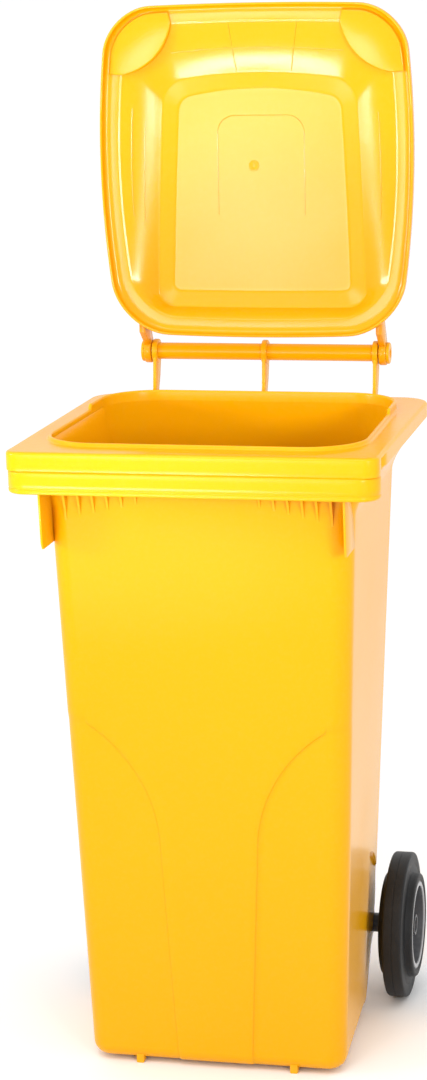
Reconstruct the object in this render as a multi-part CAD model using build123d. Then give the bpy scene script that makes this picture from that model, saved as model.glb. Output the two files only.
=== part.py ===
from build123d import *
import os
from math import cos, radians, sin, sqrt

# Two-wheel refuse bin of the 120 litre class, with its lid standing upright.
# Millimetres, +Z up. The origin is on the floor under the middle of the bin, X runs across it,
# and the front lip faces -Y. Each sub-part is written as one STEP file in parts/.

# --- overall layout -------------------------------------------------------------------------
FRONT_Y = -255.0          # front face of the lip
RIM_HALF_WIDTH = 238.5
RIM_DEPTH = 468.0         # lip's front face to the rear skirt
FLANGE_TOP = 848.0
WALL = 4.0

# --- tub ------------------------------------------------------------------------------------
BASE_Z = 5.0
FLARE_START = 760.0       # the walls start to flare out to the rim here
FLARE_END = 828.0         # bottom of the side and rear skirt
FLARE_POWER = 1.5         # 1 is a straight slope; higher is more hollow
TUB_HALF_FRONT = (174.0, 198.0)   # at the base, at the flare
TUB_HALF_REAR = (158.0, 193.0)
TUB_FRONT_SETBACK = (83.0, 53.0)  # front wall behind the lip's face
TUB_REAR_SETBACK = (432.0, 443.0)
TUB_FRONT_RADIUS = 26.0
TUB_REAR_RADIUS = 46.0
RIM_FRONT_RADIUS = 18.0
RIM_REAR_RADIUS = 42.0
BASE_ROUNDING = 18.0
FOOT_X = (97.0, 113.0)
FOOT_SETBACK = 87.0
FOOT_LENGTH = 17.0
FOOT_OVERLAP = 8.0
HEEL_SETBACK = (319.0, 405.0)     # sloping underside that makes room for the axle
HEEL_Z = (5.0, 147.0)

# --- lower front corners, set back by a small step --------------------------------------------
STEP_DEPTH = 2.5
STEP_HALF_BOTTOM = 50.0
STEP_HALF_TOP = 65.0
STEP_STRAIGHT_TOP = 310.0
STEP_ARC_RADIUS = 200.0
CUT_LOW = -20.0           # cutters start this far below the floor

# --- wheel pockets in the sides ---------------------------------------------------------------
POCKET_HALF_WIDTH = 165.0
POCKET_FRONT_SETBACK = 308.0
POCKET_Z = (62.0, 235.0)
POCKET_ARC_END = (415.0, 150.0)   # distance behind the lip, height
POCKET_ARC_MIDDLE = (0.62, 0.36)  # shares of the arc's run and drop at its middle point

# --- rim, lip and mouth -----------------------------------------------------------------------
LIP_DEPTH = 54.0
LIP_RETURN = 30.0         # how far the deep lip runs back along each side
LIP_BAND = 26.0           # height of the upper band
LIP_STEP = 3.0            # the lower band stands out from the upper one by this
LIP_LOWER_RADIUS = 28.0
MOUTH_HALF = (206.0, 201.0)       # front, rear
MOUTH_SETBACK = (51.0, 423.0)
MOUTH_RADIUS = 72.0
COLLAR_WALL = 4.0
COLLAR_FRONT_TOP = 853.0
COLLAR_REAR_TOP = 860.0
COLLAR_STEP_SETBACK = 300.0       # the collar is higher behind this line

# --- lifting ribs under the lip -----------------------------------------------------------------
RIB_COUNT = 6
RIB_FIRST_X = 80.0
RIB_PITCH = 18.5
RIB_THICKNESS = 3.0
RIB_FOOT_Z = (772.0, 750.0)       # innermost rib, outermost rib
RIB_LIP_GAP = 4.0         # ribs stop this far above the lip's lower edge
END_PLATE_X = 195.0
END_PLATE_FOOT_Z = 720.0
END_PLATE_FRONT = (2.0, 12.0)     # behind the ribs' front edge, at the top and at the foot
END_PLATE_REACH = 26.0    # how far it reaches into the tub's front corner

# --- handle and hinge ---------------------------------------------------------------------------
HINGE_SETBACK = 493.0
HINGE_Z = 905.0
TUBE_RADIUS = 11.75
TUBE_BORE = 8.5
TUBE_HALF_LENGTH = 161.5
BRACKET_X = 157.5
BRACKET_THICKNESS = 5.0
BRACKET_EMBED = 24.0      # how far the plates reach in front of the rear skirt
BRACKET_FOOT_Z = 776.0
BRACKET_KNEE = (8.0, 820.0)       # behind the rear skirt, height
BRACKET_SHOULDER = (4.0, 842.0)   # behind the rear skirt, height
BRACKET_ELBOW = (8.0, 868.0)      # behind the hinge axis, height
BRACKET_NECK = (4.0, 6.0)         # below the hinge axis, at the back and at the front
NECK_INSET = 0.5          # neck's edge inside the eye's radius
EYE_RADIUS = 17.0
EYE_THICKNESS = 8.0
PIN_RADIUS = 8.5
PIN_LENGTH = 30.0
PIN_HEAD_RADIUS = 15.0
PIN_HEAD_THICKNESS = 4.0
RUNNING_GAP = 0.06
FACE_GAP = 0.4

# --- lid, drawn closed with the hinge axis at the origin and the front towards -Y -----------------
LID_OPEN_ANGLE = 91.0
LID_WALL = 3.5
LID_DROP = 55.0           # hinge axis down to the lid's lower edge
LID_SKIRT = 17.0
LID_PANEL_DROP = 13.5     # hinge axis down to the top panel
LID_BAND = 20.0           # flat border between the skirt and the slopes
LID_CORNER = 55.0
PANEL_CORNER = 18.0
EAR_X = (163.0, 173.0)
EAR_RADIUS = 17.0
EAR_ROOT = (-70.0, -31.0)         # where the ear meets the border, in front of the axis
EAR_BACK = ((16.0, 0.0), (-10.0, -13.5))
EAR_TOP = ((-4.0, 16.5), (-70.0, -26.0))
EAR_ROOT_SLANT = 8.0
EAR_OVERLAP = 2.0

# --- axle and wheels -----------------------------------------------------------------------------
AXLE_SETBACK = 396.0
AXLE_Z = 102.0
AXLE_RADIUS = 10.0
AXLE_HALF_LENGTH = 214.0
GROOVE_X = 204.0
GROOVE_WIDTH = 9.5
GROOVE_RADIUS = 7.5
LUG_RADIUS = 18.0
LUG_X = (55.0, 157.0)
LUG_THICKNESS = (6.0, 10.0)
LUG_WEB = ((-54.0, -52.0), (2.0, -17.8), (17.4, 4.0), (8.0, 50.0))  # corners, from the axle
SPACER_X = (162.4, 179.6)
SPACER_RADIUS = 13.5
TYRE_RADIUS = 102.0
TREAD_X = (190.0, 217.0)
SHOULDER_X = (180.0, 228.0)
SHOULDER_RADIUS = 72.8
RIM_RADIUS = 62.0
RIM_BORE_RADIUS = 55.0
RIM_X = (181.5, 226.5)
DISC_X = (197.0, 202.0)
HUB_X = (180.0, 223.5)
HUB_RADIUS = 14.5
HUB_RECESS = (11.0, 3.6)          # radius, depth
HUB_BORE_END = 216.0

# --- lock plunger in the hub ----------------------------------------------------------------------
HOUSING_RADIUS = 8.0
HOUSING_END = 46.0        # distance from the axle's centre line
PLUNGER_RADIUS = 3.5
PLUNGER_NOSE = 8.2
PLUNGER_TAIL = 28.0
PLUNGER_BORE_END = 42.0
WINDOW = (24.0, 34.0)     # opening in the housing's outer face
SPRING_WIRE = 0.5
SPRING_RADIUS = 2.6
SPRING_TURNS = 5


def behind_lip(setback):
    """Y of a point this far behind the lip's front face."""
    return FRONT_Y + setback


HINGE_Y = behind_lip(HINGE_SETBACK)
AXLE_Y = behind_lip(AXLE_SETBACK)
RIM_REAR_Y = behind_lip(RIM_DEPTH)
WHOLE_PLAN = ((-RIM_HALF_WIDTH - 1, RIM_HALF_WIDTH + 1), (FRONT_Y - 1, RIM_REAR_Y + 1))


def blend(pair, t):
    """Value between the two in pair, at t from 0 to 1."""
    return pair[0] + (pair[1] - pair[0]) * t


# --- sketch helpers ------------------------------------------------------------------------------
def plan_outline(half_front, half_rear, y_front, y_rear, r_front, r_rear, z):
    """Rounded trapezoid in plan at height z."""
    corners = [(-half_front, y_front), (half_front, y_front), (half_rear, y_rear), (-half_rear, y_rear)]
    face = make_face(Polyline(*corners, close=True))
    face = fillet(face.vertices().group_by(Axis.Y)[0], r_front)
    face = fillet(face.vertices().group_by(Axis.Y)[-1], r_rear)
    return Pos(0, 0, z) * face


def side_prism(points, x_low, x_high):
    """Closed outline of (y, z) points, extruded along X."""
    face = make_face(Polyline(*[(x_low, y, z) for y, z in points], close=True))
    return extrude(face, amount=x_high - x_low, dir=(1, 0, 0))


def x_cylinder(radius, x_low, x_high, y, z):
    """Cylinder along X."""
    place = Pos(x_low, y, z) * Rot(0, 90, 0)
    return place * Cylinder(radius, x_high - x_low, align=(Align.CENTER, Align.CENTER, Align.MIN))


def block(x, y, z):
    """Box between pairs of limits."""
    size = Box(x[1] - x[0], y[1] - y[0], z[1] - z[0], align=(Align.MIN, Align.MIN, Align.MIN))
    return Pos(x[0], y[0], z[0]) * size


def both_sides(shape):
    """The shape and its mirror image across X = 0."""
    return shape + mirror(shape, about=Plane.YZ)


# --- tub ------------------------------------------------------------------------------------------
def flare_at(z):
    """How far the side and rear walls stand out at height z, from 0 to 1."""
    t = max(0.0, (z - FLARE_START) / (FLARE_END - FLARE_START))
    return t**FLARE_POWER


def tub_section(z, inset, floor):
    """Outline of the tub at height z, drawn in by inset; floor is where the base rounding starts."""
    t = min(1.0, (z - BASE_Z) / (FLARE_START - BASE_Z))
    out = flare_at(z)
    rounding = BASE_ROUNDING - inset
    depth = max(0.0, rounding - (z - floor))
    inset = inset + rounding - sqrt(rounding * rounding - depth * depth)
    half_front = blend(TUB_HALF_FRONT, t)
    half_rear = blend(TUB_HALF_REAR, t)
    half_front += (RIM_HALF_WIDTH - half_front) * out
    half_rear += (RIM_HALF_WIDTH - half_rear) * out
    rear = blend(TUB_REAR_SETBACK, t)
    rear += (RIM_DEPTH - rear) * out
    return plan_outline(
        half_front - inset,
        half_rear - inset,
        behind_lip(blend(TUB_FRONT_SETBACK, t)) + inset,
        behind_lip(rear) - inset,
        max(4.0, TUB_FRONT_RADIUS - inset),
        max(4.0, TUB_REAR_RADIUS + (RIM_REAR_RADIUS - TUB_REAR_RADIUS) * out - inset),
        z,
    )


def tub_block(inset):
    """Solid of the tub's shape, drawn in by inset on every side; the rim's hollow included."""
    floor = BASE_Z + inset
    heights = [floor, floor + 1.5, floor + 4.5, floor + 9.0, floor + BASE_ROUNDING - inset]
    heights += [FLARE_START]
    heights += [FLARE_START + (FLARE_END - FLARE_START) * t for t in (0.12, 0.3, 0.5, 0.75, 1.0)]
    solid = loft([tub_section(z, inset, floor) for z in heights], ruled=True)
    top = plan_outline(
        RIM_HALF_WIDTH - inset,
        RIM_HALF_WIDTH - inset,
        behind_lip(TUB_FRONT_SETBACK[1]) + inset,
        RIM_REAR_Y - inset,
        TUB_FRONT_RADIUS - inset,
        RIM_REAR_RADIUS - inset,
        FLARE_END,
    )
    return solid + extrude(top, amount=FLANGE_TOP - inset - FLARE_END, dir=(0, 0, 1))


def heel_cut(inset):
    """Wedge below the sloping underside, raised by inset."""
    y_low = behind_lip(HEEL_SETBACK[0])
    y_high = behind_lip(HEEL_SETBACK[1])
    run = y_high - y_low
    rise = HEEL_Z[1] - HEEL_Z[0]
    length = sqrt(run * run + rise * rise)
    dy = -inset * rise / length
    dz = inset * run / length
    extend = 0.6
    start = (y_low - run * extend + dy, HEEL_Z[0] - rise * extend + dz)
    end = (y_high + run * extend + dy, HEEL_Z[1] + rise * extend + dz)
    return side_prism([start, end, (end[0], start[1])], -RIM_HALF_WIDTH, RIM_HALF_WIDTH)


def corner_step_cut(inset):
    """Cutter in front of the two lower front corners, its back face STEP_DEPTH + inset inside the wall."""
    top_z = STEP_STRAIGHT_TOP + STEP_ARC_RADIUS * 0.999
    arc_x = STEP_HALF_TOP + STEP_ARC_RADIUS
    start = (STEP_HALF_TOP, STEP_STRAIGHT_TOP)
    angle = radians(45)
    middle = (arc_x - STEP_ARC_RADIUS * cos(angle), STEP_STRAIGHT_TOP + STEP_ARC_RADIUS * sin(angle))
    end = (arc_x, STEP_STRAIGHT_TOP + STEP_ARC_RADIUS)
    lines = [
        Line((STEP_HALF_BOTTOM, CUT_LOW), start),
        ThreePointArc(start, middle, end),
        Line(end, (end[0], CUT_LOW)),
        Line((end[0], CUT_LOW), (STEP_HALF_BOTTOM, CUT_LOW)),
    ]
    region = Plane.XZ * make_face(lines)
    reach = 60.0
    y_base = behind_lip(TUB_FRONT_SETBACK[0]) + STEP_DEPTH + inset
    y_top = behind_lip(TUB_FRONT_SETBACK[1]) + STEP_DEPTH + inset
    column = extrude(Pos(0, y_base, 0) * region, amount=reach, dir=(0, -1, 0))
    slope = (y_top - y_base) / (FLARE_START - BASE_Z)
    low = (y_base + slope * (CUT_LOW - BASE_Z), CUT_LOW)
    high = (y_base + slope * (top_z + 5 - BASE_Z), top_z + 5)
    behind = low[0] + reach + 20
    wedge = side_prism([low, high, (behind, high[1]), (behind, CUT_LOW)], 0, arc_x + 1)
    return both_sides(column - wedge)


def pocket_cut(inset):
    """Cutter beside the tub that makes the two wheel pockets."""
    y_front = behind_lip(POCKET_FRONT_SETBACK)
    y_arc = behind_lip(POCKET_ARC_END[0])
    x_low = POCKET_HALF_WIDTH - inset
    y_middle = y_front + POCKET_ARC_MIDDLE[0] * (y_arc - y_front)
    z_middle = POCKET_Z[1] - POCKET_ARC_MIDDLE[1] * (POCKET_Z[1] - POCKET_ARC_END[1])
    lines = [
        Line((x_low, y_front, POCKET_Z[0]), (x_low, y_front, POCKET_Z[1])),
        ThreePointArc(
            (x_low, y_front, POCKET_Z[1]),
            (x_low, y_middle, z_middle),
            (x_low, y_arc, POCKET_ARC_END[1]),
        ),
        Line((x_low, y_arc, POCKET_ARC_END[1]), (x_low, y_arc, POCKET_Z[0])),
        Line((x_low, y_arc, POCKET_Z[0]), (x_low, y_front, POCKET_Z[0])),
    ]
    return both_sides(extrude(make_face(lines), amount=40, dir=(1, 0, 0)))


def tub_solid(inset):
    """Tub shape drawn in by inset, with heel, corner steps and wheel pockets cut."""
    return tub_block(inset) - heel_cut(inset) - corner_step_cut(inset) - pocket_cut(inset)


# --- rim ------------------------------------------------------------------------------------------
def rim_outline(inset, z, front=LIP_STEP, front_radius=RIM_FRONT_RADIUS):
    """Outer outline of the flange at height z; its front edge is set back from the lower band by front."""
    return plan_outline(
        RIM_HALF_WIDTH - inset,
        RIM_HALF_WIDTH - inset,
        behind_lip(front) + inset,
        RIM_REAR_Y - inset,
        front_radius - inset,
        RIM_REAR_RADIUS - inset,
        z,
    )


def mouth_outline(grow, z):
    """Outline of the mouth at height z, widened by grow."""
    return plan_outline(
        MOUTH_HALF[0] + grow,
        MOUTH_HALF[1] + grow,
        behind_lip(MOUTH_SETBACK[0]) - grow,
        behind_lip(MOUTH_SETBACK[1]) + grow,
        MOUTH_RADIUS + grow,
        MOUTH_RADIUS + grow,
        z,
    )


def flange_plate():
    """Flat top of the rim, still without the mouth."""
    return extrude(rim_outline(0, FLANGE_TOP - WALL), amount=WALL, dir=(0, 0, 1))


def front_lip():
    """Deep two-band lip round the front, with its short returns."""
    low = FLANGE_TOP - LIP_DEPTH
    step = FLANGE_TOP - LIP_BAND
    upper = extrude(rim_outline(0, step), amount=LIP_BAND, dir=(0, 0, 1))
    lower = extrude(rim_outline(0, low, 0, LIP_LOWER_RADIUS), amount=LIP_DEPTH - LIP_BAND, dir=(0, 0, 1))
    inside = extrude(rim_outline(WALL, low), amount=LIP_DEPTH, dir=(0, 0, 1))
    ring = upper + lower - inside
    front = block((-RIM_HALF_WIDTH, RIM_HALF_WIDTH), (FRONT_Y, behind_lip(LIP_RETURN)), (low, FLANGE_TOP))
    rear_y = (behind_lip(LIP_RETURN), RIM_REAR_Y)
    skirt = block((-RIM_HALF_WIDTH, RIM_HALF_WIDTH), rear_y, (FLARE_END, FLANGE_TOP))
    rear_ring = extrude(rim_outline(0, FLARE_END), amount=FLANGE_TOP - FLARE_END, dir=(0, 0, 1))
    rear_ring -= extrude(rim_outline(WALL, FLARE_END), amount=FLANGE_TOP - FLARE_END, dir=(0, 0, 1))
    return (ring & front) + (rear_ring & skirt)


def collar():
    """Upright bead round the mouth, higher at the back."""
    height = COLLAR_REAR_TOP - FLANGE_TOP + WALL
    ring = extrude(mouth_outline(COLLAR_WALL, FLANGE_TOP - WALL), amount=height, dir=(0, 0, 1))
    lowered = block(
        (-RIM_HALF_WIDTH, RIM_HALF_WIDTH),
        (FRONT_Y, behind_lip(COLLAR_STEP_SETBACK)),
        (COLLAR_FRONT_TOP, COLLAR_REAR_TOP + 1),
    )
    return ring - lowered


def lifting_ribs():
    """Gussets between the lip and the front wall, with a deeper plate at each end."""
    lip_y = behind_lip(LIP_STEP + WALL / 2)
    lip_low = FLANGE_TOP - LIP_DEPTH + RIB_LIP_GAP
    wall_y = behind_lip(TUB_FRONT_SETBACK[1]) + WALL / 2
    ribs = []
    for index in range(RIB_COUNT):
        foot = blend(RIB_FOOT_Z, index / (RIB_COUNT - 1))
        x = RIB_FIRST_X + index * RIB_PITCH - RIB_THICKNESS / 2
        roof_z = FLANGE_TOP - WALL
        outline = [(lip_y, roof_z), (lip_y, lip_low), (wall_y, foot), (wall_y, roof_z)]
        ribs.append(side_prism(outline, x, x + RIB_THICKNESS))
    x = END_PLATE_X - RIB_THICKNESS / 2
    outline = [
        (lip_y + END_PLATE_FRONT[0], FLANGE_TOP - WALL),
        (lip_y + END_PLATE_FRONT[0], lip_low),
        (lip_y + END_PLATE_FRONT[1], END_PLATE_FOOT_Z),
        (wall_y + END_PLATE_REACH, END_PLATE_FOOT_Z),
        (wall_y + END_PLATE_REACH, FLANGE_TOP - WALL),
    ]
    ribs.append(side_prism(outline, x, x + RIB_THICKNESS))
    return both_sides(Part() + ribs)


# --- brackets, lugs and feet ----------------------------------------------------------------------
def bracket(x):
    """One handle bracket: a gusset behind the rear skirt, up to an eye round the tube."""
    neck = EYE_RADIUS - NECK_INSET
    outline = [
        (RIM_REAR_Y - BRACKET_EMBED, BRACKET_FOOT_Z),
        (RIM_REAR_Y + BRACKET_KNEE[0], BRACKET_KNEE[1]),
        (HINGE_Y + BRACKET_ELBOW[0], BRACKET_ELBOW[1]),
        (HINGE_Y + neck, HINGE_Z - BRACKET_NECK[0]),
        (HINGE_Y + neck, HINGE_Z),
        (HINGE_Y - neck, HINGE_Z),
        (HINGE_Y - neck, HINGE_Z - BRACKET_NECK[1]),
        (RIM_REAR_Y + BRACKET_SHOULDER[0], BRACKET_SHOULDER[1]),
        (RIM_REAR_Y - BRACKET_EMBED, BRACKET_SHOULDER[1]),
    ]
    plate = side_prism(outline, x - BRACKET_THICKNESS / 2, x + BRACKET_THICKNESS / 2)
    eye = x_cylinder(EYE_RADIUS, x - EYE_THICKNESS / 2, x + EYE_THICKNESS / 2, HINGE_Y, HINGE_Z)
    return plate + eye


def brackets():
    """The three handle brackets."""
    return Part() + [bracket(x) for x in (-BRACKET_X, 0, BRACKET_X)]


def axle_lugs():
    """Lugs under the sloping heel that carry the axle."""
    lugs = []
    for x, thickness in zip(LUG_X, LUG_THICKNESS):
        ring = x_cylinder(LUG_RADIUS, x - thickness / 2, x + thickness / 2, AXLE_Y, AXLE_Z)
        corners = [(AXLE_Y + y, AXLE_Z + z) for y, z in LUG_WEB]
        web = side_prism(corners, x - thickness / 2, x + thickness / 2)
        lugs.append(ring + web)
    return both_sides(Part() + lugs)


def front_feet():
    """Two low pads under the front edge."""
    y = (behind_lip(FOOT_SETBACK), behind_lip(FOOT_SETBACK + FOOT_LENGTH))
    return both_sides(block(FOOT_X, y, (0, BASE_Z + FOOT_OVERLAP)))


def make_bin_tub():
    """Tub below the rim, with its axle lugs and feet."""
    tub = tub_solid(0) + axle_lugs() + front_feet() - tub_solid(WALL)
    tub -= block(*WHOLE_PLAN, (FLARE_END, FLANGE_TOP + 1))
    return tub - x_cylinder(AXLE_RADIUS + RUNNING_GAP, -RIM_HALF_WIDTH, RIM_HALF_WIDTH, AXLE_Y, AXLE_Z)


def make_bin_rim():
    """Flange with its skirts, the front lip and the collar."""
    top = tub_block(0) & block(*WHOLE_PLAN, (FLARE_END, FLANGE_TOP + 1))
    rim = top + flange_plate() + front_lip() + collar()
    mouth = extrude(mouth_outline(0, FLANGE_TOP - WALL - 1), amount=COLLAR_REAR_TOP, dir=(0, 0, 1))
    return rim - tub_block(WALL) - mouth


def make_lip_ribs():
    """Ribs and end plates in the hollow between the lip and the tub."""
    return lifting_ribs() - tub_block(0) - flange_plate() - front_lip()


def make_handle_brackets():
    """The three brackets, as they stand out from the rim and the tub."""
    arms = brackets() - tub_block(0)
    return arms - x_cylinder(TUBE_RADIUS, -RIM_HALF_WIDTH, RIM_HALF_WIDTH, HINGE_Y, HINGE_Z)


# --- handle tube and hinge pins -------------------------------------------------------------------
def make_handle_tube():
    """Straight tube between the outer brackets' outer faces."""
    tube = x_cylinder(TUBE_RADIUS, -TUBE_HALF_LENGTH, TUBE_HALF_LENGTH, HINGE_Y, HINGE_Z)
    return tube - x_cylinder(TUBE_BORE, -TUBE_HALF_LENGTH, TUBE_HALF_LENGTH, HINGE_Y, HINGE_Z)


def make_right_hinge_pin():
    """Headed pin through the lid's ear into the end of the tube."""
    head_x = EAR_X[1] + FACE_GAP
    shank = x_cylinder(PIN_RADIUS, head_x - PIN_LENGTH, head_x, HINGE_Y, HINGE_Z)
    head = x_cylinder(PIN_HEAD_RADIUS, head_x, head_x + PIN_HEAD_THICKNESS, HINGE_Y, HINGE_Z)
    head = fillet(head.edges().group_by(Axis.X)[-1], 1.5)
    dimple = x_cylinder(PIN_RADIUS - 2, head_x + 1, head_x + PIN_HEAD_THICKNESS, HINGE_Y, HINGE_Z)
    return shank + head - dimple


# --- lid ------------------------------------------------------------------------------------------
def tray_outline(half, reach, radius, inset, z):
    """Rounded outline with bulging sides.

    half: half width at the rear, middle and front. reach: distance from the hinge axis to the rear
    corners, the middle of the rear edge, the front corners and the middle of the front edge.
    """
    rear, middle, front = (value - inset for value in half)
    s_rear, s_rear_mid = reach[0] + inset, reach[1] + inset
    s_front, s_front_mid = reach[2] - inset, reach[3] - inset
    s_mid = (s_rear + s_front) / 2
    lines = [
        ThreePointArc((rear, -s_rear), (middle, -s_mid), (front, -s_front)),
        ThreePointArc((front, -s_front), (0, -s_front_mid), (-front, -s_front)),
        ThreePointArc((-front, -s_front), (-middle, -s_mid), (-rear, -s_rear)),
        ThreePointArc((-rear, -s_rear), (0, -s_rear_mid), (rear, -s_rear)),
    ]
    face = make_face(lines)
    face = fillet(face.vertices(), radius - inset / 2)
    return Pos(0, 0, z) * face


def lid_border(inset, z):
    """Outline of the lid's skirt."""
    return tray_outline((198, 220, 206), (33, 27, 478, 483), LID_CORNER, inset, z)


def lid_panel(inset, z):
    """Outline of the raised top panel."""
    return tray_outline((127.5, 118.5, 114.5), (88, 87, 353, 368), PANEL_CORNER, inset, z)


def tray_solid(inset):
    """Skirt and sloping top of the lid, drawn in by inset."""
    band_z = LID_SKIRT - LID_DROP - inset
    skirt = extrude(lid_border(inset, -LID_DROP), amount=LID_SKIRT - inset, dir=(0, 0, 1))
    panel = lid_panel(inset, -LID_PANEL_DROP - inset)
    top = loft([lid_border(LID_BAND + inset, band_z), panel], ruled=True)
    return skirt + top


def hinge_ear():
    """Right ear of the lid, with the pin's bore."""
    root_z = LID_SKIRT - LID_DROP - EAR_OVERLAP
    outline = [
        EAR_BACK[0],
        *EAR_TOP,
        (EAR_ROOT[0] + EAR_ROOT_SLANT, root_z),
        (EAR_ROOT[1], root_z),
        EAR_BACK[1],
    ]
    ear = side_prism(outline, *EAR_X) + x_cylinder(EAR_RADIUS, *EAR_X, 0, 0)
    return ear - x_cylinder(PIN_RADIUS + RUNNING_GAP, EAR_X[0] - 1, EAR_X[1] + 1, 0, 0)


def make_lid():
    """The lid, turned up to its resting place."""
    closed = tray_solid(0) - tray_solid(LID_WALL) + both_sides(hinge_ear())
    return Pos(0, HINGE_Y, HINGE_Z) * Rot(-LID_OPEN_ANGLE, 0, 0) * closed


# --- axle and wheels ------------------------------------------------------------------------------
def make_wheel_axle():
    """Steel rod with a lock groove near each end."""
    rod = x_cylinder(AXLE_RADIUS, -AXLE_HALF_LENGTH, AXLE_HALF_LENGTH, AXLE_Y, AXLE_Z)
    rod = chamfer(rod.edges().filter_by(GeomType.CIRCLE), 1.5)
    low = GROOVE_X - GROOVE_WIDTH / 2
    high = GROOVE_X + GROOVE_WIDTH / 2
    ring = x_cylinder(AXLE_RADIUS + 1, low, high, AXLE_Y, AXLE_Z)
    ring -= x_cylinder(GROOVE_RADIUS, low, high, AXLE_Y, AXLE_Z)
    return rod - both_sides(ring)


def make_right_axle_spacer():
    """Sleeve on the axle between the outer lug and the wheel."""
    sleeve = x_cylinder(SPACER_RADIUS, *SPACER_X, AXLE_Y, AXLE_Z)
    return sleeve - x_cylinder(AXLE_RADIUS + RUNNING_GAP, *SPACER_X, AXLE_Y, AXLE_Z)


def wheel_turning(profile):
    """Revolve a list of (x, radius) points about the axle."""
    points = [(x, AXLE_Y, AXLE_Z + radius) for x, radius in profile]
    return revolve(make_face(Polyline(*points, close=True)), Axis((0, AXLE_Y, AXLE_Z), (1, 0, 0)), 360)


def make_right_tyre():
    """Solid tyre: wide shoulders with a narrower raised tread."""
    step = 3.0
    return wheel_turning([
        (RIM_X[0], RIM_RADIUS),
        (SHOULDER_X[0], RIM_RADIUS + step),
        (SHOULDER_X[0], SHOULDER_RADIUS - step),
        (SHOULDER_X[0] + step, SHOULDER_RADIUS),
        (TREAD_X[0] - 1, SHOULDER_RADIUS + 4),
        (TREAD_X[0], TYRE_RADIUS - 2),
        (TREAD_X[0] + 2, TYRE_RADIUS),
        (TREAD_X[1] - 2, TYRE_RADIUS),
        (TREAD_X[1], TYRE_RADIUS - 2),
        (TREAD_X[1] + 1, SHOULDER_RADIUS + 4),
        (SHOULDER_X[1] - step, SHOULDER_RADIUS),
        (SHOULDER_X[1], SHOULDER_RADIUS - step),
        (SHOULDER_X[1], RIM_RADIUS + step),
        (RIM_X[1], RIM_RADIUS),
    ])


def make_right_wheel_rim():
    """Hub, dished disc and rim, with the lock plunger's housing below the hub."""
    ring = wheel_turning([
        (RIM_X[0], RIM_RADIUS),
        (RIM_X[1], RIM_RADIUS),
        (RIM_X[1], RIM_BORE_RADIUS),
        (DISC_X[1], RIM_BORE_RADIUS - 3),
        (DISC_X[1] + 6, HUB_RADIUS),
        (DISC_X[0] + 6, HUB_RADIUS),
        (DISC_X[0], RIM_BORE_RADIUS - 3),
        (RIM_X[0], RIM_BORE_RADIUS),
    ])
    rim = ring + x_cylinder(HUB_RADIUS, *HUB_X, AXLE_Y, AXLE_Z)
    rim -= x_cylinder(HUB_RECESS[0], HUB_X[1] - HUB_RECESS[1], HUB_X[1], AXLE_Y, AXLE_Z)
    housing_top = AXLE_Z - HUB_RADIUS + 4
    housing = Pos(GROOVE_X, AXLE_Y, AXLE_Z - HOUSING_END) * Cylinder(
        HOUSING_RADIUS,
        housing_top - AXLE_Z + HOUSING_END,
        align=(Align.CENTER, Align.CENTER, Align.MIN),
    )
    rim += housing
    rim -= x_cylinder(AXLE_RADIUS + RUNNING_GAP, HUB_X[0], HUB_BORE_END, AXLE_Y, AXLE_Z)
    bore = Pos(GROOVE_X, AXLE_Y, AXLE_Z - PLUNGER_BORE_END) * Cylinder(
        PLUNGER_RADIUS + RUNNING_GAP,
        PLUNGER_BORE_END,
        align=(Align.CENTER, Align.CENTER, Align.MIN),
    )
    window = block(
        (GROOVE_X, GROOVE_X + 20),
        (AXLE_Y - 3, AXLE_Y + 3),
        (AXLE_Z - WINDOW[1], AXLE_Z - WINDOW[0]),
    )
    return rim - bore - window


def make_right_lock_plunger():
    """Pin whose nose sits in the axle's groove."""
    length = PLUNGER_TAIL - PLUNGER_NOSE
    pin = Pos(GROOVE_X, AXLE_Y, AXLE_Z - PLUNGER_TAIL) * Cylinder(
        PLUNGER_RADIUS,
        length,
        align=(Align.CENTER, Align.CENTER, Align.MIN),
    )
    return chamfer(pin.edges().group_by(Axis.Z)[-1], 0.8)


def make_right_lock_spring():
    """Coil spring between the plunger's tail and the end of its bore."""
    low = AXLE_Z - PLUNGER_BORE_END + SPRING_WIRE + 0.2
    height = PLUNGER_BORE_END - PLUNGER_TAIL - 2 * SPRING_WIRE - 0.4
    path = Pos(GROOVE_X, AXLE_Y, low) * Helix(height / SPRING_TURNS, height, SPRING_RADIUS)
    profile = Plane(origin=path @ 0, z_dir=path % 0) * Circle(SPRING_WIRE)
    return sweep(profile, path=path)


def save(name, shape):
    """Write one sub-part."""
    export_step(shape, f"parts/{name}.step")


def save_pair(name, shape):
    """Write a right-hand sub-part and its mirror image."""
    save(f"right_{name}", shape)
    save(f"left_{name}", mirror(shape, about=Plane.YZ))


os.makedirs("parts", exist_ok=True)
save("bin_tub", make_bin_tub())
save("bin_rim", make_bin_rim())
save("lip_ribs", make_lip_ribs())
save("handle_brackets", make_handle_brackets())
save("handle_tube", make_handle_tube())
save("lid", make_lid())
save("wheel_axle", make_wheel_axle())
save_pair("hinge_pin", make_right_hinge_pin())
save_pair("axle_spacer", make_right_axle_spacer())
save_pair("wheel_rim", make_right_wheel_rim())
save_pair("tyre", make_right_tyre())
save_pair("lock_plunger", make_right_lock_plunger())
save_pair("lock_spring", make_right_lock_spring())
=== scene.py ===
"""Looks of a two-wheeled refuse bin with its lid standing open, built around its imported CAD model.

Sizes are in millimetres: X to the right, Y to the rear, Z up, from the floor under the bin's middle.
Y is drawn from the lip's front face and moved to the CAD's when a piece is made.
"""
import logging
import math
from dataclasses import dataclass, field
from enum import Enum
from typing import Callable, Iterable, Sequence

import bmesh
import bpy
from mathutils import Matrix, Vector


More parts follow.
